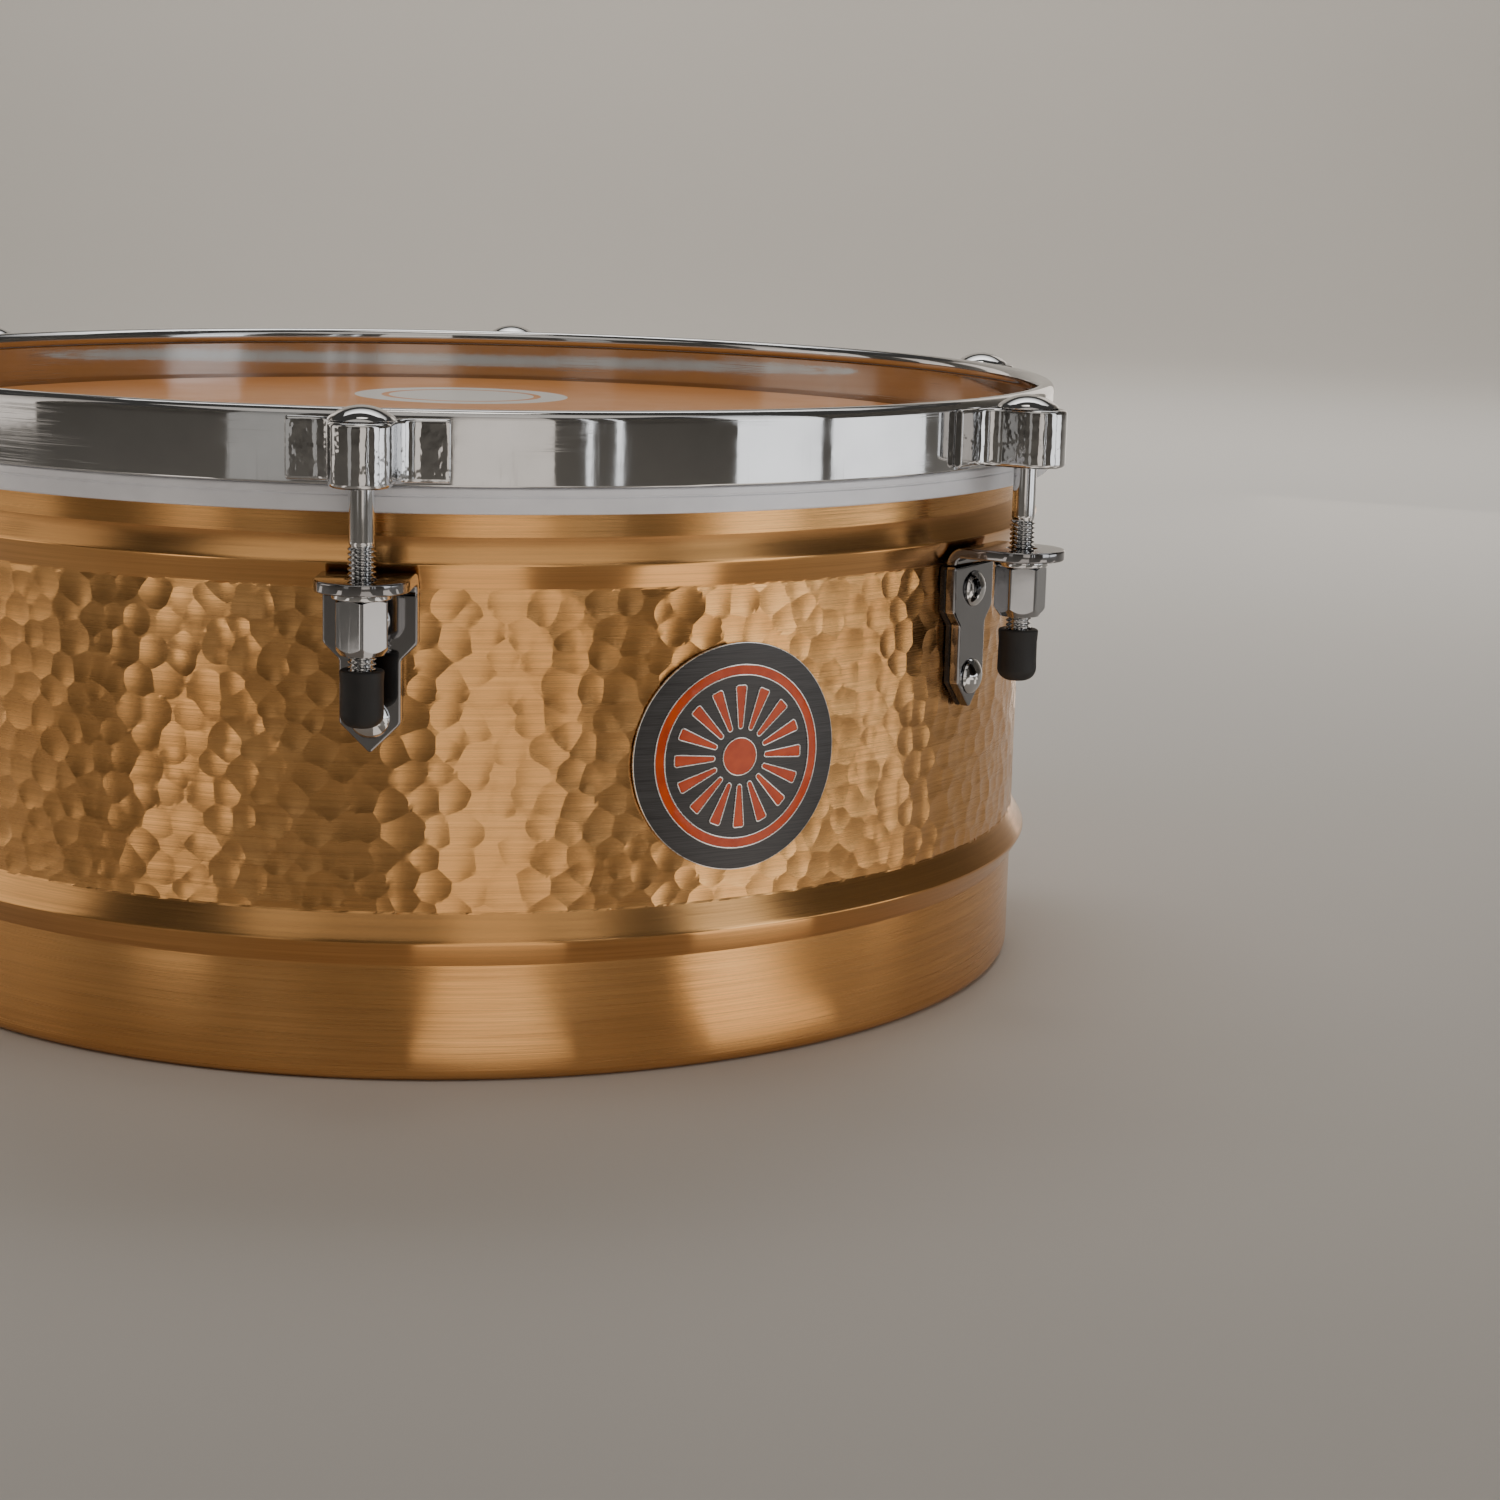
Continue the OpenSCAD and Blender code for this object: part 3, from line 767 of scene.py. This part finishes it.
def make_flesh_hoop():
    """A ring with a fine groove outside, and a slot in its top for the film's edge."""
    r1, z0, z1 = flesh_span.x1, flesh_span.z0, flesh_span.z1
    r0 = r1 - 5.2
    slot_in, slot_out, slot_z = film_span.x1 - 0.6, film_span.x1 + 0.3, z0 + 1.9
    inner_z, groove_z, lip = z1 - 0.7, z1 - 2.3, 0.2
    profile = rounded(r0, z0, 0.5, 180, 3) + rounded(r1, z0, 0.6, -90, 4) + [(r1, groove_z - 0.5)]
    profile += arc(r1 + 0.1, groove_z, 0.4, 255, 105, 6) + [(r1, groove_z + 0.5)] + rounded(r1, z1, 0.8, 0, 5)
    profile += [(slot_out + lip, z1), (slot_out, z1 - lip), (slot_out, slot_z), (slot_in, slot_z)]
    profile += [(slot_in, inner_z - lip), (slot_in - lip, inner_z), (r0 + 0.3, inner_z), (r0, inner_z - 0.3)]
    add_piece("flesh_hoop_ring", lathe(profile, 480, closed=True), HOOP_BODY, "satin_aluminium", [ALUMINIUM],
              ["flesh_hoop"])


def make_counterhoop():
    """Bent from flat bar: the lower edges are eased and the top is rolled inward in a full round."""
    z0, z1 = hoop_span.z0, hoop_span.z1
    roll_r = 2.75
    roll_x, roll_z = HOOP_R - roll_r, z1 - roll_r
    in_r = HOOP_R - HOOP_T
    meet = math.degrees(math.acos((in_r - roll_x) / roll_r))
    profile = rounded(in_r, z0, 0.5, 180, 4) + rounded(HOOP_R, z0, 0.6, -90, 5)
    profile += [(HOOP_R, roll_z - 0.5)] + arc(roll_x, roll_z, roll_r, 0, 360 - meet, 40)
    profile += [(in_r, roll_z - roll_r - 0.5)]
    add_piece("counterhoop_ring", lathe(profile, 720, closed=True), HOOP_BODY, "chromed_steel", [CHROME_HOOP],
              ["counterhoop"])


# ---- Strap ears ----

EAR_T = 2.4
LOOP_R = 7.9
# How far the loop's round end is centred beyond the bolt's axis
LOOP_OUT = 3.3
BEND_R = 5.6
FOOT_REACH = 20.0


def ear_path():
    """The strap's middle line in plan, from one foot's end round the bolt to the other, with its normals."""
    mid = EAR_T / 2
    bend = (LOOP_R + BEND_R, -math.sqrt((HOOP_R + EAR_T + BEND_R) ** 2 - (LOOP_R + BEND_R) ** 2))
    foot_from = -90 + math.degrees(FOOT_REACH / HOOP_R)
    foot_to = math.degrees(math.atan2(bend[1], bend[0]))
    points, normals = [], []
    for centre, r, side, angles in (
            ((0, 0), HOOP_R + mid, 1, np.linspace(foot_from, foot_to, 9)),
            (bend, BEND_R + mid, -1, np.linspace(foot_to + 180, 180, 9)[1:]),
            ((0, -BOLT_R - LOOP_OUT), LOOP_R - mid, 1, np.linspace(0, -90, 13))):
        for a in np.radians(angles):
            n = np.array([math.cos(a), math.sin(a)])
            points.append(np.array(centre) + n * r)
            normals.append(n * side)
    mirror = np.array([-1, 1])
    points += [p * mirror for p in points[-2::-1]]
    normals += [n * mirror for n in normals[-2::-1]]
    return points, normals


def make_ears():
    """A strap with round edges, swept along its path. Each end is eased: a share of the thickness is left
    at a distance beyond the path's last point."""
    points, normals = ear_path()
    z0, z1 = ear_span.z0, ear_span.z1
    mid_z = (z0 + z1) / 2
    side, round_r = EAR_T / 2, 1.15
    ease = [(0.96, 0.15), (0.86, 0.3), (0.7, 0.4)]
    section = rounded(side, z0, round_r, -90, 5) + rounded(side, z1, round_r, 0, 5)
    section += rounded(-side, z1, round_r, 90, 5) + rounded(-side, z0, round_r, 180, 5)
    start, end = unit(points[0] - points[1]), unit(points[-1] - points[-2])
    plan = [(points[0] + start * push, normals[0], share) for share, push in reversed(ease)]
    plan += [(p, n, 1.0) for p, n in zip(points, normals)]
    plan += [(points[-1] + end * push, normals[-1], share) for share, push in ease]
    verts = []
    for p, n, share in plan:
        low_share = 1 - (1 - share) / 4
        verts += [(*(p + n * w * share), mid_z + (z - mid_z) * low_share) for w, z in section]
    count = len(section)
    faces = [(a + i, a + (i + 1) % count, a + count + (i + 1) % count, a + count + i)
             for a in range(0, len(verts) - count, count) for i in range(count)]
    faces.append(tuple(reversed(range(count))))
    faces.append(tuple(range(len(verts) - count, len(verts))))
    add_at_lugs("strap_ear", (verts, faces), HOOP_BODY, "chromed_steel", CHROME_CAST, "hoop_ear")


# ---- Bolts, nuts, washers and caps ----

def dome_profile(d, h, land, base_z, edge=0.35):
    """From the axis under a domed head out and over it to the axis on top."""
    steps = 14
    r, rise = d / 2, h - land
    ball = (r * r + rise * rise) / (2 * rise)
    points = [(0.0, base_z), (r - edge, base_z)] + rounded(r, base_z, edge, -90, 3)[1:]
    for k in range(steps - 1, -1, -1):
        a = math.asin(r / ball) * k / steps
        points.append((ball * math.sin(a), base_z + h - ball + ball * math.cos(a)))
    return points


def threaded_rod(r_major, pitch, z0, z1, shank_r, z_top, segments=32, per_turn=8):
    """A rod whose thread runs from z0 up to z1, with a smooth shank above it to z_top."""
    heights = [z0, z0 + 0.01] + list(np.arange(z0 + 0.01, z1, pitch / per_turn)[1:]) + [z1, z1 + 0.4, z_top]
    chamfer = 0.8
    root = r_major - 0.62 * pitch

    def swell(angles, _, z):
        turn = z / pitch + angles / (2 * math.pi)
        saw = 1 - np.abs(2 * (turn - np.floor(turn)) - 1)
        fade = min(1.0, max(0.0, (z1 - z) / pitch))
        r = root + (r_major - root) * np.clip(saw * 1.5 - 0.2, 0, 1) * fade
        if z > z1 - pitch:
            r = np.maximum(r, shank_r - (shank_r - root) * fade)
        if z > z1:
            r = np.full_like(angles, shank_r)
        return np.minimum(r, r_major - chamfer + (z - z0)), z

    profile = [(0.0, z0)] + [(1.0, h) for h in heights] + [(0.0, z_top)]
    return lathe(profile, segments, swell=swell)


def make_bolts():
    """Domed head over the ear, keyed neck inside it, smooth shank, and a thread down into the cap."""
    head_z = ear_span.z1
    head_d, head_h, head_land = bolt_span.x1 - bolt_span.x0, bolt_span.z1 - head_z, 0.6
    thread_r, shank_r, thread_z = 3.55, 3.2, ear_span.z0 - 14.0
    neck_r, neck_in, neck_h = LOOP_R - EAR_T - 0.3, 6.0, 4.0
    neck = arc(0, 0, neck_r, 180, 360, 20) + [(neck_r, neck_in), (-neck_r, neck_in)]
    head = lathe(dome_profile(head_d, head_h, head_land, head_z), 96)
    thread = threaded_rod(thread_r, THREAD_PITCH, bolt_span.z0, thread_z, shank_r, head_z + 0.5)
    key = sheet(neck, [], neck_h, 0.3, lambda u, v, w: (u, v, head_z - neck_h / 2 + w))
    bolt = on_bolt(joined([head, thread, key]))
    add_at_lugs("domed_bolt", bolt, HOOP_BODY, "chromed_steel", CHROME, "tension_bolt")


def hex_radius(angles, flats, corner_cut=0.1085):
    """Radius of a hexagon with slightly blunted corners, one corner at angle 0."""
    wedge = (angles + math.pi / 6) % (math.pi / 3) - math.pi / 6
    return np.minimum(flats / 2 / np.cos(math.pi / 6 - np.abs(wedge)), flats / math.sqrt(3) - corner_cut)


def hex_nut(flats, bore_r, z0, z1, cone, chamfer, turn, segments=144):
    """A hexagonal nut whose lower corners are cut by a cone of height cone, the upper ones by a chamfer."""
    rim_low, rim_high, corner = flats / 2 - 0.8, flats / 2 - 0.15, flats / math.sqrt(3)
    # these two stand in the profile for the hexagon's lower and upper edge
    hex_low, hex_high = 60, 61

    def swell(angles, r, z):
        hexagon = hex_radius(angles - turn, flats)
        if r == hex_low:
            return hexagon, z0 + (hexagon - rim_low) * cone / (corner - rim_low)
        if r == hex_high:
            return hexagon, z1 - (hexagon - rim_high) * chamfer / (corner - rim_high)
        return r + 0 * angles, z

    mouth = 0.5
    profile = [(bore_r, z0 + mouth), (bore_r + mouth, z0), (rim_low, z0), (hex_low, z0), (hex_high, z1),
               (rim_high, z1), (bore_r + mouth, z1), (bore_r, z1 - mouth)]
    return lathe(profile, segments, closed=True, swell=swell)


# Where a corner of each nut stands, in degrees past straight out
NUT_TURNS = (7.7, 33, 52, 18, 41, 27)


def make_nuts():
    flats, bore_r, cone, chamfer = 12.7, 3.6, 2.5, 0.6
    for k in LUGS:
        turn = math.radians(NUT_TURNS[k - 1] - 90)
        nut = on_bolt(hex_nut(flats, bore_r, nut_span.z0, nut_span.z1, cone, chamfer, turn))
        # the nuts' darker chrome is painted shade
        add_at_lugs("hex_tuning_nut", nut, f"nut_{k}", "chromed_steel", NUT_CHROME_PAINTED_SHADE, "tuning_nut", [k], 24.0)


def washer(r_in, r_out, z0, z1, edge, segments):
    profile = rounded(r_in, z0, edge, 180, 2) + rounded(r_out, z0, edge, -90, 3)
    profile += rounded(r_out, z1, edge, 0, 3) + rounded(r_in, z1, edge, 90, 2)
    return lathe(profile, segments, closed=True)


def make_nut_washers():
    verts, faces = on_bolt(washer(3.85, 7.5, washer_span.z0, washer_span.z1, 0.45, 72))
    ring = joined([(at_lug(verts, k), faces) for k in LUGS])
    add_piece("flat_washers", ring, SHELL_BODY, "plated_steel", [CHROME], ["nut_washers"])


def make_caps():
    """Rubber caps: a soft lip at the mouth, a faint waist and a rounded end."""
    r = (cap_span.x1 - cap_span.x0) / 2
    z0, z1 = cap_span.z0, cap_span.z1
    bore_r, bore_z = 3.6, bolt_span.z0 - 0.1
    profile = [(0.0, z0), (r - 3.6, z0)] + rounded(r - 0.1, z0, 3.5, -90, 10)[1:]
    profile += [(r - 0.16, z0 + 6.0), (r - 0.2, z1 - 3.4), (r - 0.08, z1 - 2.0)] + rounded(r, z1, 0.6, 0, 4)
    profile += rounded(bore_r, z1, 0.35, 90, 3) + [(bore_r, bore_z), (0.0, bore_z)]
    cap = on_bolt(lathe(profile, 64))
    add_at_lugs("rubber_cap", cap, HOOP_BODY, "black_rubber", RUBBER, "bolt_cap")


# ---- Brackets ----

BAR_T = 3.0
BAR_W = bracket_span.x1 - bracket_span.x0
TAIL_W = 15.6
PLATE_Y = -bracket_span.y1
FLANGE_Z = bracket_span.z1
BEND_IN = 2.0
MID_BEND = BEND_IN + BAR_T / 2
BEND_Z = FLANGE_Z - BEND_IN - BAR_T
BEND_Y = PLATE_Y + BEND_IN + BAR_T
BEND_LENGTH = math.pi / 2 * MID_BEND
SCREW_Z = (FLANGE_Z - 12.6, FLANGE_Z - 37.6)


def bent(u, v, w):
    """Flat pattern to L: v below 0 is the plate, then the bend, then the flange. w faces out and down."""
    if v <= 0:
        return u, -(PLATE_Y + BAR_T / 2) - w, BEND_Z + v
    if v < BEND_LENGTH:
        a = v / MID_BEND
        rho = MID_BEND - w
        return u, -BEND_Y + rho * math.cos(a), BEND_Z + rho * math.sin(a)
    return u, -BEND_Y - (v - BEND_LENGTH), BEND_Z + MID_BEND - w


def tail_outline():
    """The plate's corners below its straight sides, down the left and up the right, as (across, height)."""
    half, tail, tip = BAR_W / 2, TAIL_W / 2, 0.4
    low, shoulder = bracket_span.z0, FLANGE_Z - 18.4
    right = [(half, shoulder), (tail, shoulder - half + tail), (tail, low + tail - tip), (tip, low)]
    return [(-x, z) for x, z in right] + right[::-1]


def make_brackets():
    """A plate that ends in a V, a bend, and a round-ended flange with the bolt's hole."""
    half = BAR_W / 2
    bolt_v = BEND_LENGTH + BOLT_R - BEND_Y
    corners = [(half, 0.0), (-half, 0.0)] + [(x, z - BEND_Z) for x, z in tail_outline()]
    plate = [p for p in round_corners(corners, 1.6) if p[1] < -0.5]
    start = max(range(len(plate)), key=lambda i: (plate[i][1], plate[i][0] < 0))
    rows = [t * BEND_LENGTH for t in np.linspace(0, 1, 9)]
    outline = plate[start:] + plate[:start] + [(half, v) for v in rows]
    outline += arc(0, bolt_v, half, 0, 180, 32) + [(-half, v) for v in reversed(rows)]
    hole = arc(0, bolt_v, 4.0, 0, 360, 40)[:-1]
    inner = [(x, v) for v in rows for x in np.linspace(-half + 1.2, half - 1.2, 7)]
    bracket = sheet(outline, [hole], BAR_T, 0.55, bent, inner)
    # the brackets' dark chrome is painted shade
    add_at_lugs("l_bracket", bracket, SHELL_BODY, "chromed_steel", DARK_CHROME_PAINTED_SHADE, "lug_bracket")


def make_gaskets():
    """A thin pad, flat against the bracket and curved against the shell."""
    half, tail, top = BAR_W / 2, TAIL_W / 2, gasket_span.z1
    outline = round_corners([(half, top), (-half, top)] + tail_outline(), 1.2)
    inner = [(x, z) for z in np.arange(92, top - 1, 3.0) for x in np.linspace(-half + 1, half - 1, 9)
             if abs(x) < (half - 1 if z > 117 else tail - 1 if z > 98 else 2)]

    def against_shell(u, v, w):
        back = math.sqrt(SHELL_R ** 2 - u * u)
        return u, -(back + (PLATE_Y - back) * (w + 0.5)), v

    gasket = sheet(outline, [], 1.0, 0.2, against_shell, inner, 2)
    add_at_lugs("black_gasket", gasket, SHELL_BODY, "black_rubber", GLOSS_RUBBER, "lug_gasket")


def at_screws(part):
    """A mesh made on the +Z axis, laid on every bracket screw's axis, its +Z pointing out of the drum."""
    verts, faces = part
    copies = []
    for k in LUGS:
        for z in SCREW_Z:
            laid = np.column_stack([verts[:, 0], -verts[:, 2], z + verts[:, 1]])
            copies.append((at_lug(laid, k), faces))
    return joined(copies)


def make_screws():
    """Domed screws through the shell, each with a washer and a nut inside."""
    out_y = PLATE_Y + BAR_T
    head_r, thread_r, washer_r, washer_t, nut_t = 5.1, 2.5, 6.0, 1.0, 4.0
    # the washer's sides touch the shell's round inside
    inside = math.sqrt((SHELL_R - WALL) ** 2 - washer_r ** 2) - 0.05
    head = lathe(dome_profile(2 * head_r, 2.9, 0.5, out_y, 0.3), 48)
    shank = threaded_rod(thread_r, 0.8, inside - 6.0, SHELL_R - 1.8, thread_r, out_y + 0.3, 24, 6)
    ring = washer(2.65, washer_r, inside - washer_t, inside, 0.2, 40)
    nut = hex_nut(8.0, 2.55, inside - washer_t - nut_t, inside - washer_t, 0.5, 0.2, 0.0, 72)
    for name, part, slot, material, node, sharp in (
            ("bracket_screw_set", joined([head, shank]), "chromed_steel", CHROME, "bracket_screws", 35.0),
            ("inside_washer_set", ring, "plated_steel", STEEL, "inner_washers", 35.0),
            ("inside_nut_set", nut, "plated_steel", STEEL, "inner_nuts", 24.0)):
        add_piece(name, at_screws(part), SHELL_BODY, slot, [material], [node], sharp=sharp)


# ---- Badge ----

BADGE_R = 30.5
BADGE_TURN = math.radians(31.5)
BADGE_Z = 84.3
BADGE_FACE = SHELL_R + 1.35
RAYS = 16


def wrapped(face_r):
    """place() for a flat pattern wrapped round the shell, w counted from a radius."""
    def place(u, v, w):
        a = BADGE_TURN + u / SHELL_R
        r = face_r + w
        return r * math.sin(a), -r * math.cos(a), BADGE_Z + v
    return place


def flat_point(point):
    """Where a point of the badge lies on its flat pattern."""
    return (math.atan2(point[0], -point[1]) - BADGE_TURN) * SHELL_R, point[2] - BADGE_Z


def rosette():
    """The badge's plain pattern: each shape as an outline and its hole, if it has one."""
    shapes = []
    out = BADGE_R * 0.80
    shapes.append((arc(0, 0, out, 0, 360, 96)[:-1], arc(0, 0, out - 2.4, 0, 360, 96)[:-1]))
    shapes.append((arc(0, 0, BADGE_R * 0.16, 0, 360, 36)[:-1], None))
    for k in range(RAYS):
        a = 2 * math.pi * k / RAYS
        c, s = math.cos(a), math.sin(a)
        near, far = BADGE_R * 0.25, BADGE_R * 0.62
        ray = round_corners([(near, -0.5), (far, -1.5), (far, 1.5), (near, 0.5)], 0.5, 4)
        shapes.append(([(c * x - s * y, s * x + c * y) for x, y in ray], None))
    return shapes


def grid_points(radius, step):
    marks = np.arange(-radius, radius + step, step)
    return [(x + 0.01, y) for x in marks for y in marks if x * x + y * y < (radius - 1.0) ** 2]


def make_badge():
    """A curved disc with a bright cut edge, its pad, and the rosette: enamel inside thin raised lines."""
    pad_r, rim_w, rim_up, fill_up, sunk = BADGE_R - 0.6, 0.32, 0.28, 0.2, 0.03
    disc = arc(0, 0, BADGE_R, 0, 360, 180)[:-1]
    plate = sheet(disc, [], 0.8, 0.25, wrapped(BADGE_FACE - 0.4), grid_points(BADGE_R, 3.0), 2)
    pad = sheet(arc(0, 0, pad_r, 0, 360, 120)[:-1], [], 0.55, 0.05, wrapped(SHELL_R + 0.25),
                grid_points(pad_r, 3.0), 1)
    on_rim, on_fill = (wrapped(BADGE_FACE + up / 2 - sunk) for up in (rim_up, fill_up))
    rims, fills = [], []
    for outer, hole in rosette():
        outer = np.asarray(outer if area_of(outer) > 0 else outer[::-1])
        lines = [(inset(outer, -rim_w), outer)]
        if hole is not None:
            hole = np.asarray(hole if area_of(hole) > 0 else hole[::-1])
            lines.append((hole, inset(hole, rim_w)))
        rims += [sheet(a, [b], rim_up, 0.1, on_rim, (), 2, False) for a, b in lines]
        spots = grid_points(BADGE_R * 0.14, 1.5) if hole is None and area_of(outer) > 60 else ()
        fills.append(sheet(outer, [] if hole is None else [hole], fill_up, 0.12, on_fill, spots, 2, False))
    off = [math.hypot(*flat_point(p)) for p in plate[0]]
    edge = [int(min(off[i] for i in face) > BADGE_R - 0.4) for face in plate[1]]
    for name, part, slot, materials, nodes, pattern in (
            ("badge_disc", plate, "gunmetal", [GUNMETAL, BADGE_RIM], ["badge_plate"], edge),
            ("badge_backing", pad, "black_rubber", [RUBBER], ["badge_pad"], None),
            ("badge_inlay", joined(fills), "orange_enamel", [ENAMEL], ["badge_enamel"], None),
            ("badge_lines", joined(rims), "gunmetal", [BADGE_RIM], [], None)):
        add_piece(name, part, SHELL_BODY, slot, materials, nodes, pattern)


# ---- Camera, floor and light ----

CAMERA_AT = (102.10, -907.68, 234.18)
CAMERA_PITCH = math.radians(11.0916)
CAMERA_ROLL = math.radians(1.509)
CAMERA_YAW = math.radians(0.4558)
LENS = 70.178


def make_camera():
    data = bpy.data.cameras.new("camera")
    data.sensor_width, data.lens = 36.0, LENS
    data.clip_start, data.clip_end = 0.01, 50.0
    camera = add_object("camera", data)
    forward = Vector((-math.sin(CAMERA_YAW) * math.cos(CAMERA_PITCH),
                      math.cos(CAMERA_YAW) * math.cos(CAMERA_PITCH), -math.sin(CAMERA_PITCH)))
    right = forward.cross(Vector((0, 0, 1))).normalized()
    up = right.cross(forward)
    c, s = math.cos(CAMERA_ROLL), math.sin(CAMERA_ROLL)
    x_axis, y_axis = right * c + up * s, up * c - right * s
    basis = Matrix((x_axis, y_axis, -forward)).transposed().to_4x4()
    camera.matrix_world = Matrix.Translation(Vector(CAMERA_AT) * MM) @ basis
    bpy.context.scene.camera = camera


def make_floor():
    """A pale sweep: flat round the drum, curving up far behind it on all sides."""
    flat_r, wall_r, wall_h = 3.2, 4.6, 3.0
    bend = wall_r - flat_r
    profile = [(0.0, 0.0), (0.5, 0.0), (1.5, 0.0), (flat_r, 0.0)]
    profile += arc(flat_r, bend, bend, -90, 0, 15)[1:] + [(wall_r, wall_h)]
    n = Nodes("floor")
    tone = n.noise(n.place()[3], 0.8, 3.0)
    n.link(n.mottle(tone, (0.66, 0.635, 0.60), (0.63, 0.605, 0.57)), n.shader.inputs["Base Color"])
    put(n.shader, Roughness=0.75)
    add_object("floor", smooth_mesh("floor", *lathe(profile[::-1], 128), [n.material]))


def add_lamp(name, at, towards, size, radiance, tint, spread=180.0):
    """A rectangular lamp of a given brightness, unseen by the camera but seen in reflections."""
    data = bpy.data.lights.new(name, "AREA")
    data.shape, data.color = "RECTANGLE", tint
    data.size, data.size_y = size
    half = math.radians(spread) / 2
    gain = 1.0 if spread >= 180 else math.tan(half) / (math.tan(half) - half)
    data.energy = radiance * math.pi * size[0] * size[1] / gain
    data.spread = 2 * half
    lamp = add_object(name, data)
    lamp.location = at
    lamp.rotation_mode = "QUATERNION"
    lamp.rotation_quaternion = (Vector(towards) - Vector(at)).to_track_quat("-Z", "Y")
    lamp.visible_camera = False
    return lamp


PANEL_RANGE = 1.47
PANEL_SPREAD = 110.0


def panel(name, start, end, low, high, radiance, tint):
    """A standing softbox between two azimuths, counted like the lugs with 0 towards -Y, and two heights."""
    mid, half = math.radians((start + end) / 2), math.radians((end - start) / 2)
    reach = PANEL_RANGE * math.cos(half)
    at = (reach * math.sin(mid), -reach * math.cos(mid), (low + high) / 2)
    size = (2 * PANEL_RANGE * math.sin(half), high - low)
    add_lamp(name, at, (0.0, 0.0, at[2]), size, radiance, tint, PANEL_SPREAD)


def lying_panels(name, radiance, tint, *rows):
    """The same windows carried on along the floor: softboxes that face up, each row with its two radii and
    its two azimuths. They light the drum from below and leave the floor alone."""
    for k, (near, far, start, end) in enumerate(rows):
        mid, half = math.radians((start + end) / 2), math.radians((end - start) / 2)
        r = (near + far) / 2
        at, size = (r * math.sin(mid), -r * math.cos(mid), 0.002), (2 * r * math.sin(half), far - near)
        lamp = add_lamp(f"{name}_{k + 1}", at, (0.0, 0.0, 1.0), size, radiance, tint)
        lamp.rotation_mode = "XYZ"
        lamp.rotation_euler = (math.pi, 0.0, mid)


def make_lights():
    """Windows for the front to mirror, four more behind, and lamps over the floor, drum and backdrop."""
    warm, cool, amber = (1.0, 0.90, 0.80), (0.98, 0.99, 1.0), (1.0, 0.93, 0.84)
    foot = 0.004
    panel("warm_window", 6.6, 23.0, foot, 1.9, 1.15, warm)
    panel("dim_window", -30.3, -19.7, foot, 1.3, 0.42, (1.0, 0.97, 0.92))
    panel("left_window", -86.0, -66.0, 0.05, 1.7, 1.2, warm)
    panel("strip_a", 28.3, 29.3, foot, 1.0, 2.2, cool)
    panel("strip_b", 33.2, 34.4, foot, 1.0, 2.2, cool)
    panel("bright_window", 54.5, 71.3, foot, 1.9, 2.4, cool)
    panel("low_window", 73.5, 96.0, foot, 0.16, 2.4, cool)
    lying_panels("warm_floor", 0.85, warm,
                 (0.19, 0.31, 4.5, 16.5), (0.31, 0.5, 3.5, 22.5), (0.5, 1.1, 3.0, 25.5))
    lying_panels("bright_floor", 1.25, warm,
                 (0.19, 0.31, 34.0, 46.0), (0.31, 0.5, 42.0, 58.0), (0.5, 1.1, 47.5, 67.0))
    lying_panels("narrow_floor", 1.2, warm, (0.33, 0.5, 75.0, 82.0), (0.5, 1.0, 82.5, 90.0))
    lying_panels("left_floor", 1.3, warm, (0.31, 0.5, -37.0, -28.0), (0.5, 1.1, -42.0, -31.5))
    for k, start in enumerate((148.0, 204.0, 232.0, 262.0)):
        panel(f"back_window_{k + 1}", start, start + 13.0, foot, 1.0, 1.2, warm)
        lying_panels(f"back_floor_{k + 1}", 1.2, warm,
                     (0.2, 0.4, start + 1.0, start + 11.0), (0.4, 1.1, start, start + 13.0))
    add_lamp("front_ceiling", (0.0, -1.2, 1.9), (0.0, -1.2, 0.0), (2.6, 1.4), 0.68, amber)
    add_lamp("overhead", (0.3, 1.5, 2.0), (0.3, 1.5, 0.0), (2.6, 1.4), 6.0, (1.0, 0.98, 0.95), 100.0)
    add_lamp("backdrop_wash", (0.0, 2.3, 2.9), (0.0, 4.4, 0.9), (3.2, 0.6), 14.0, (1.0, 0.95, 0.88), 130.0)
    add_lamp("head_light", (0.0, 0.0, 1.7), (0.0, 0.0, 0.0), (0.5, 0.5), 5.0, amber, 30.0)
    world = bpy.data.worlds.new("studio")
    bpy.context.scene.world = world
    world.use_nodes = True
    ground = world.node_tree.nodes["Background"]
    ground.inputs["Color"].default_value = (0.90, 0.86, 0.80, 1.0)
    ground.inputs["Strength"].default_value = 0.08


make_camera()
make_shell()
make_head()
make_flesh_hoop()
make_counterhoop()
make_ears()
make_bolts()
make_nuts()
make_nut_washers()
make_caps()
make_brackets()
make_gaskets()
make_screws()
make_badge()
make_floor()
make_lights()
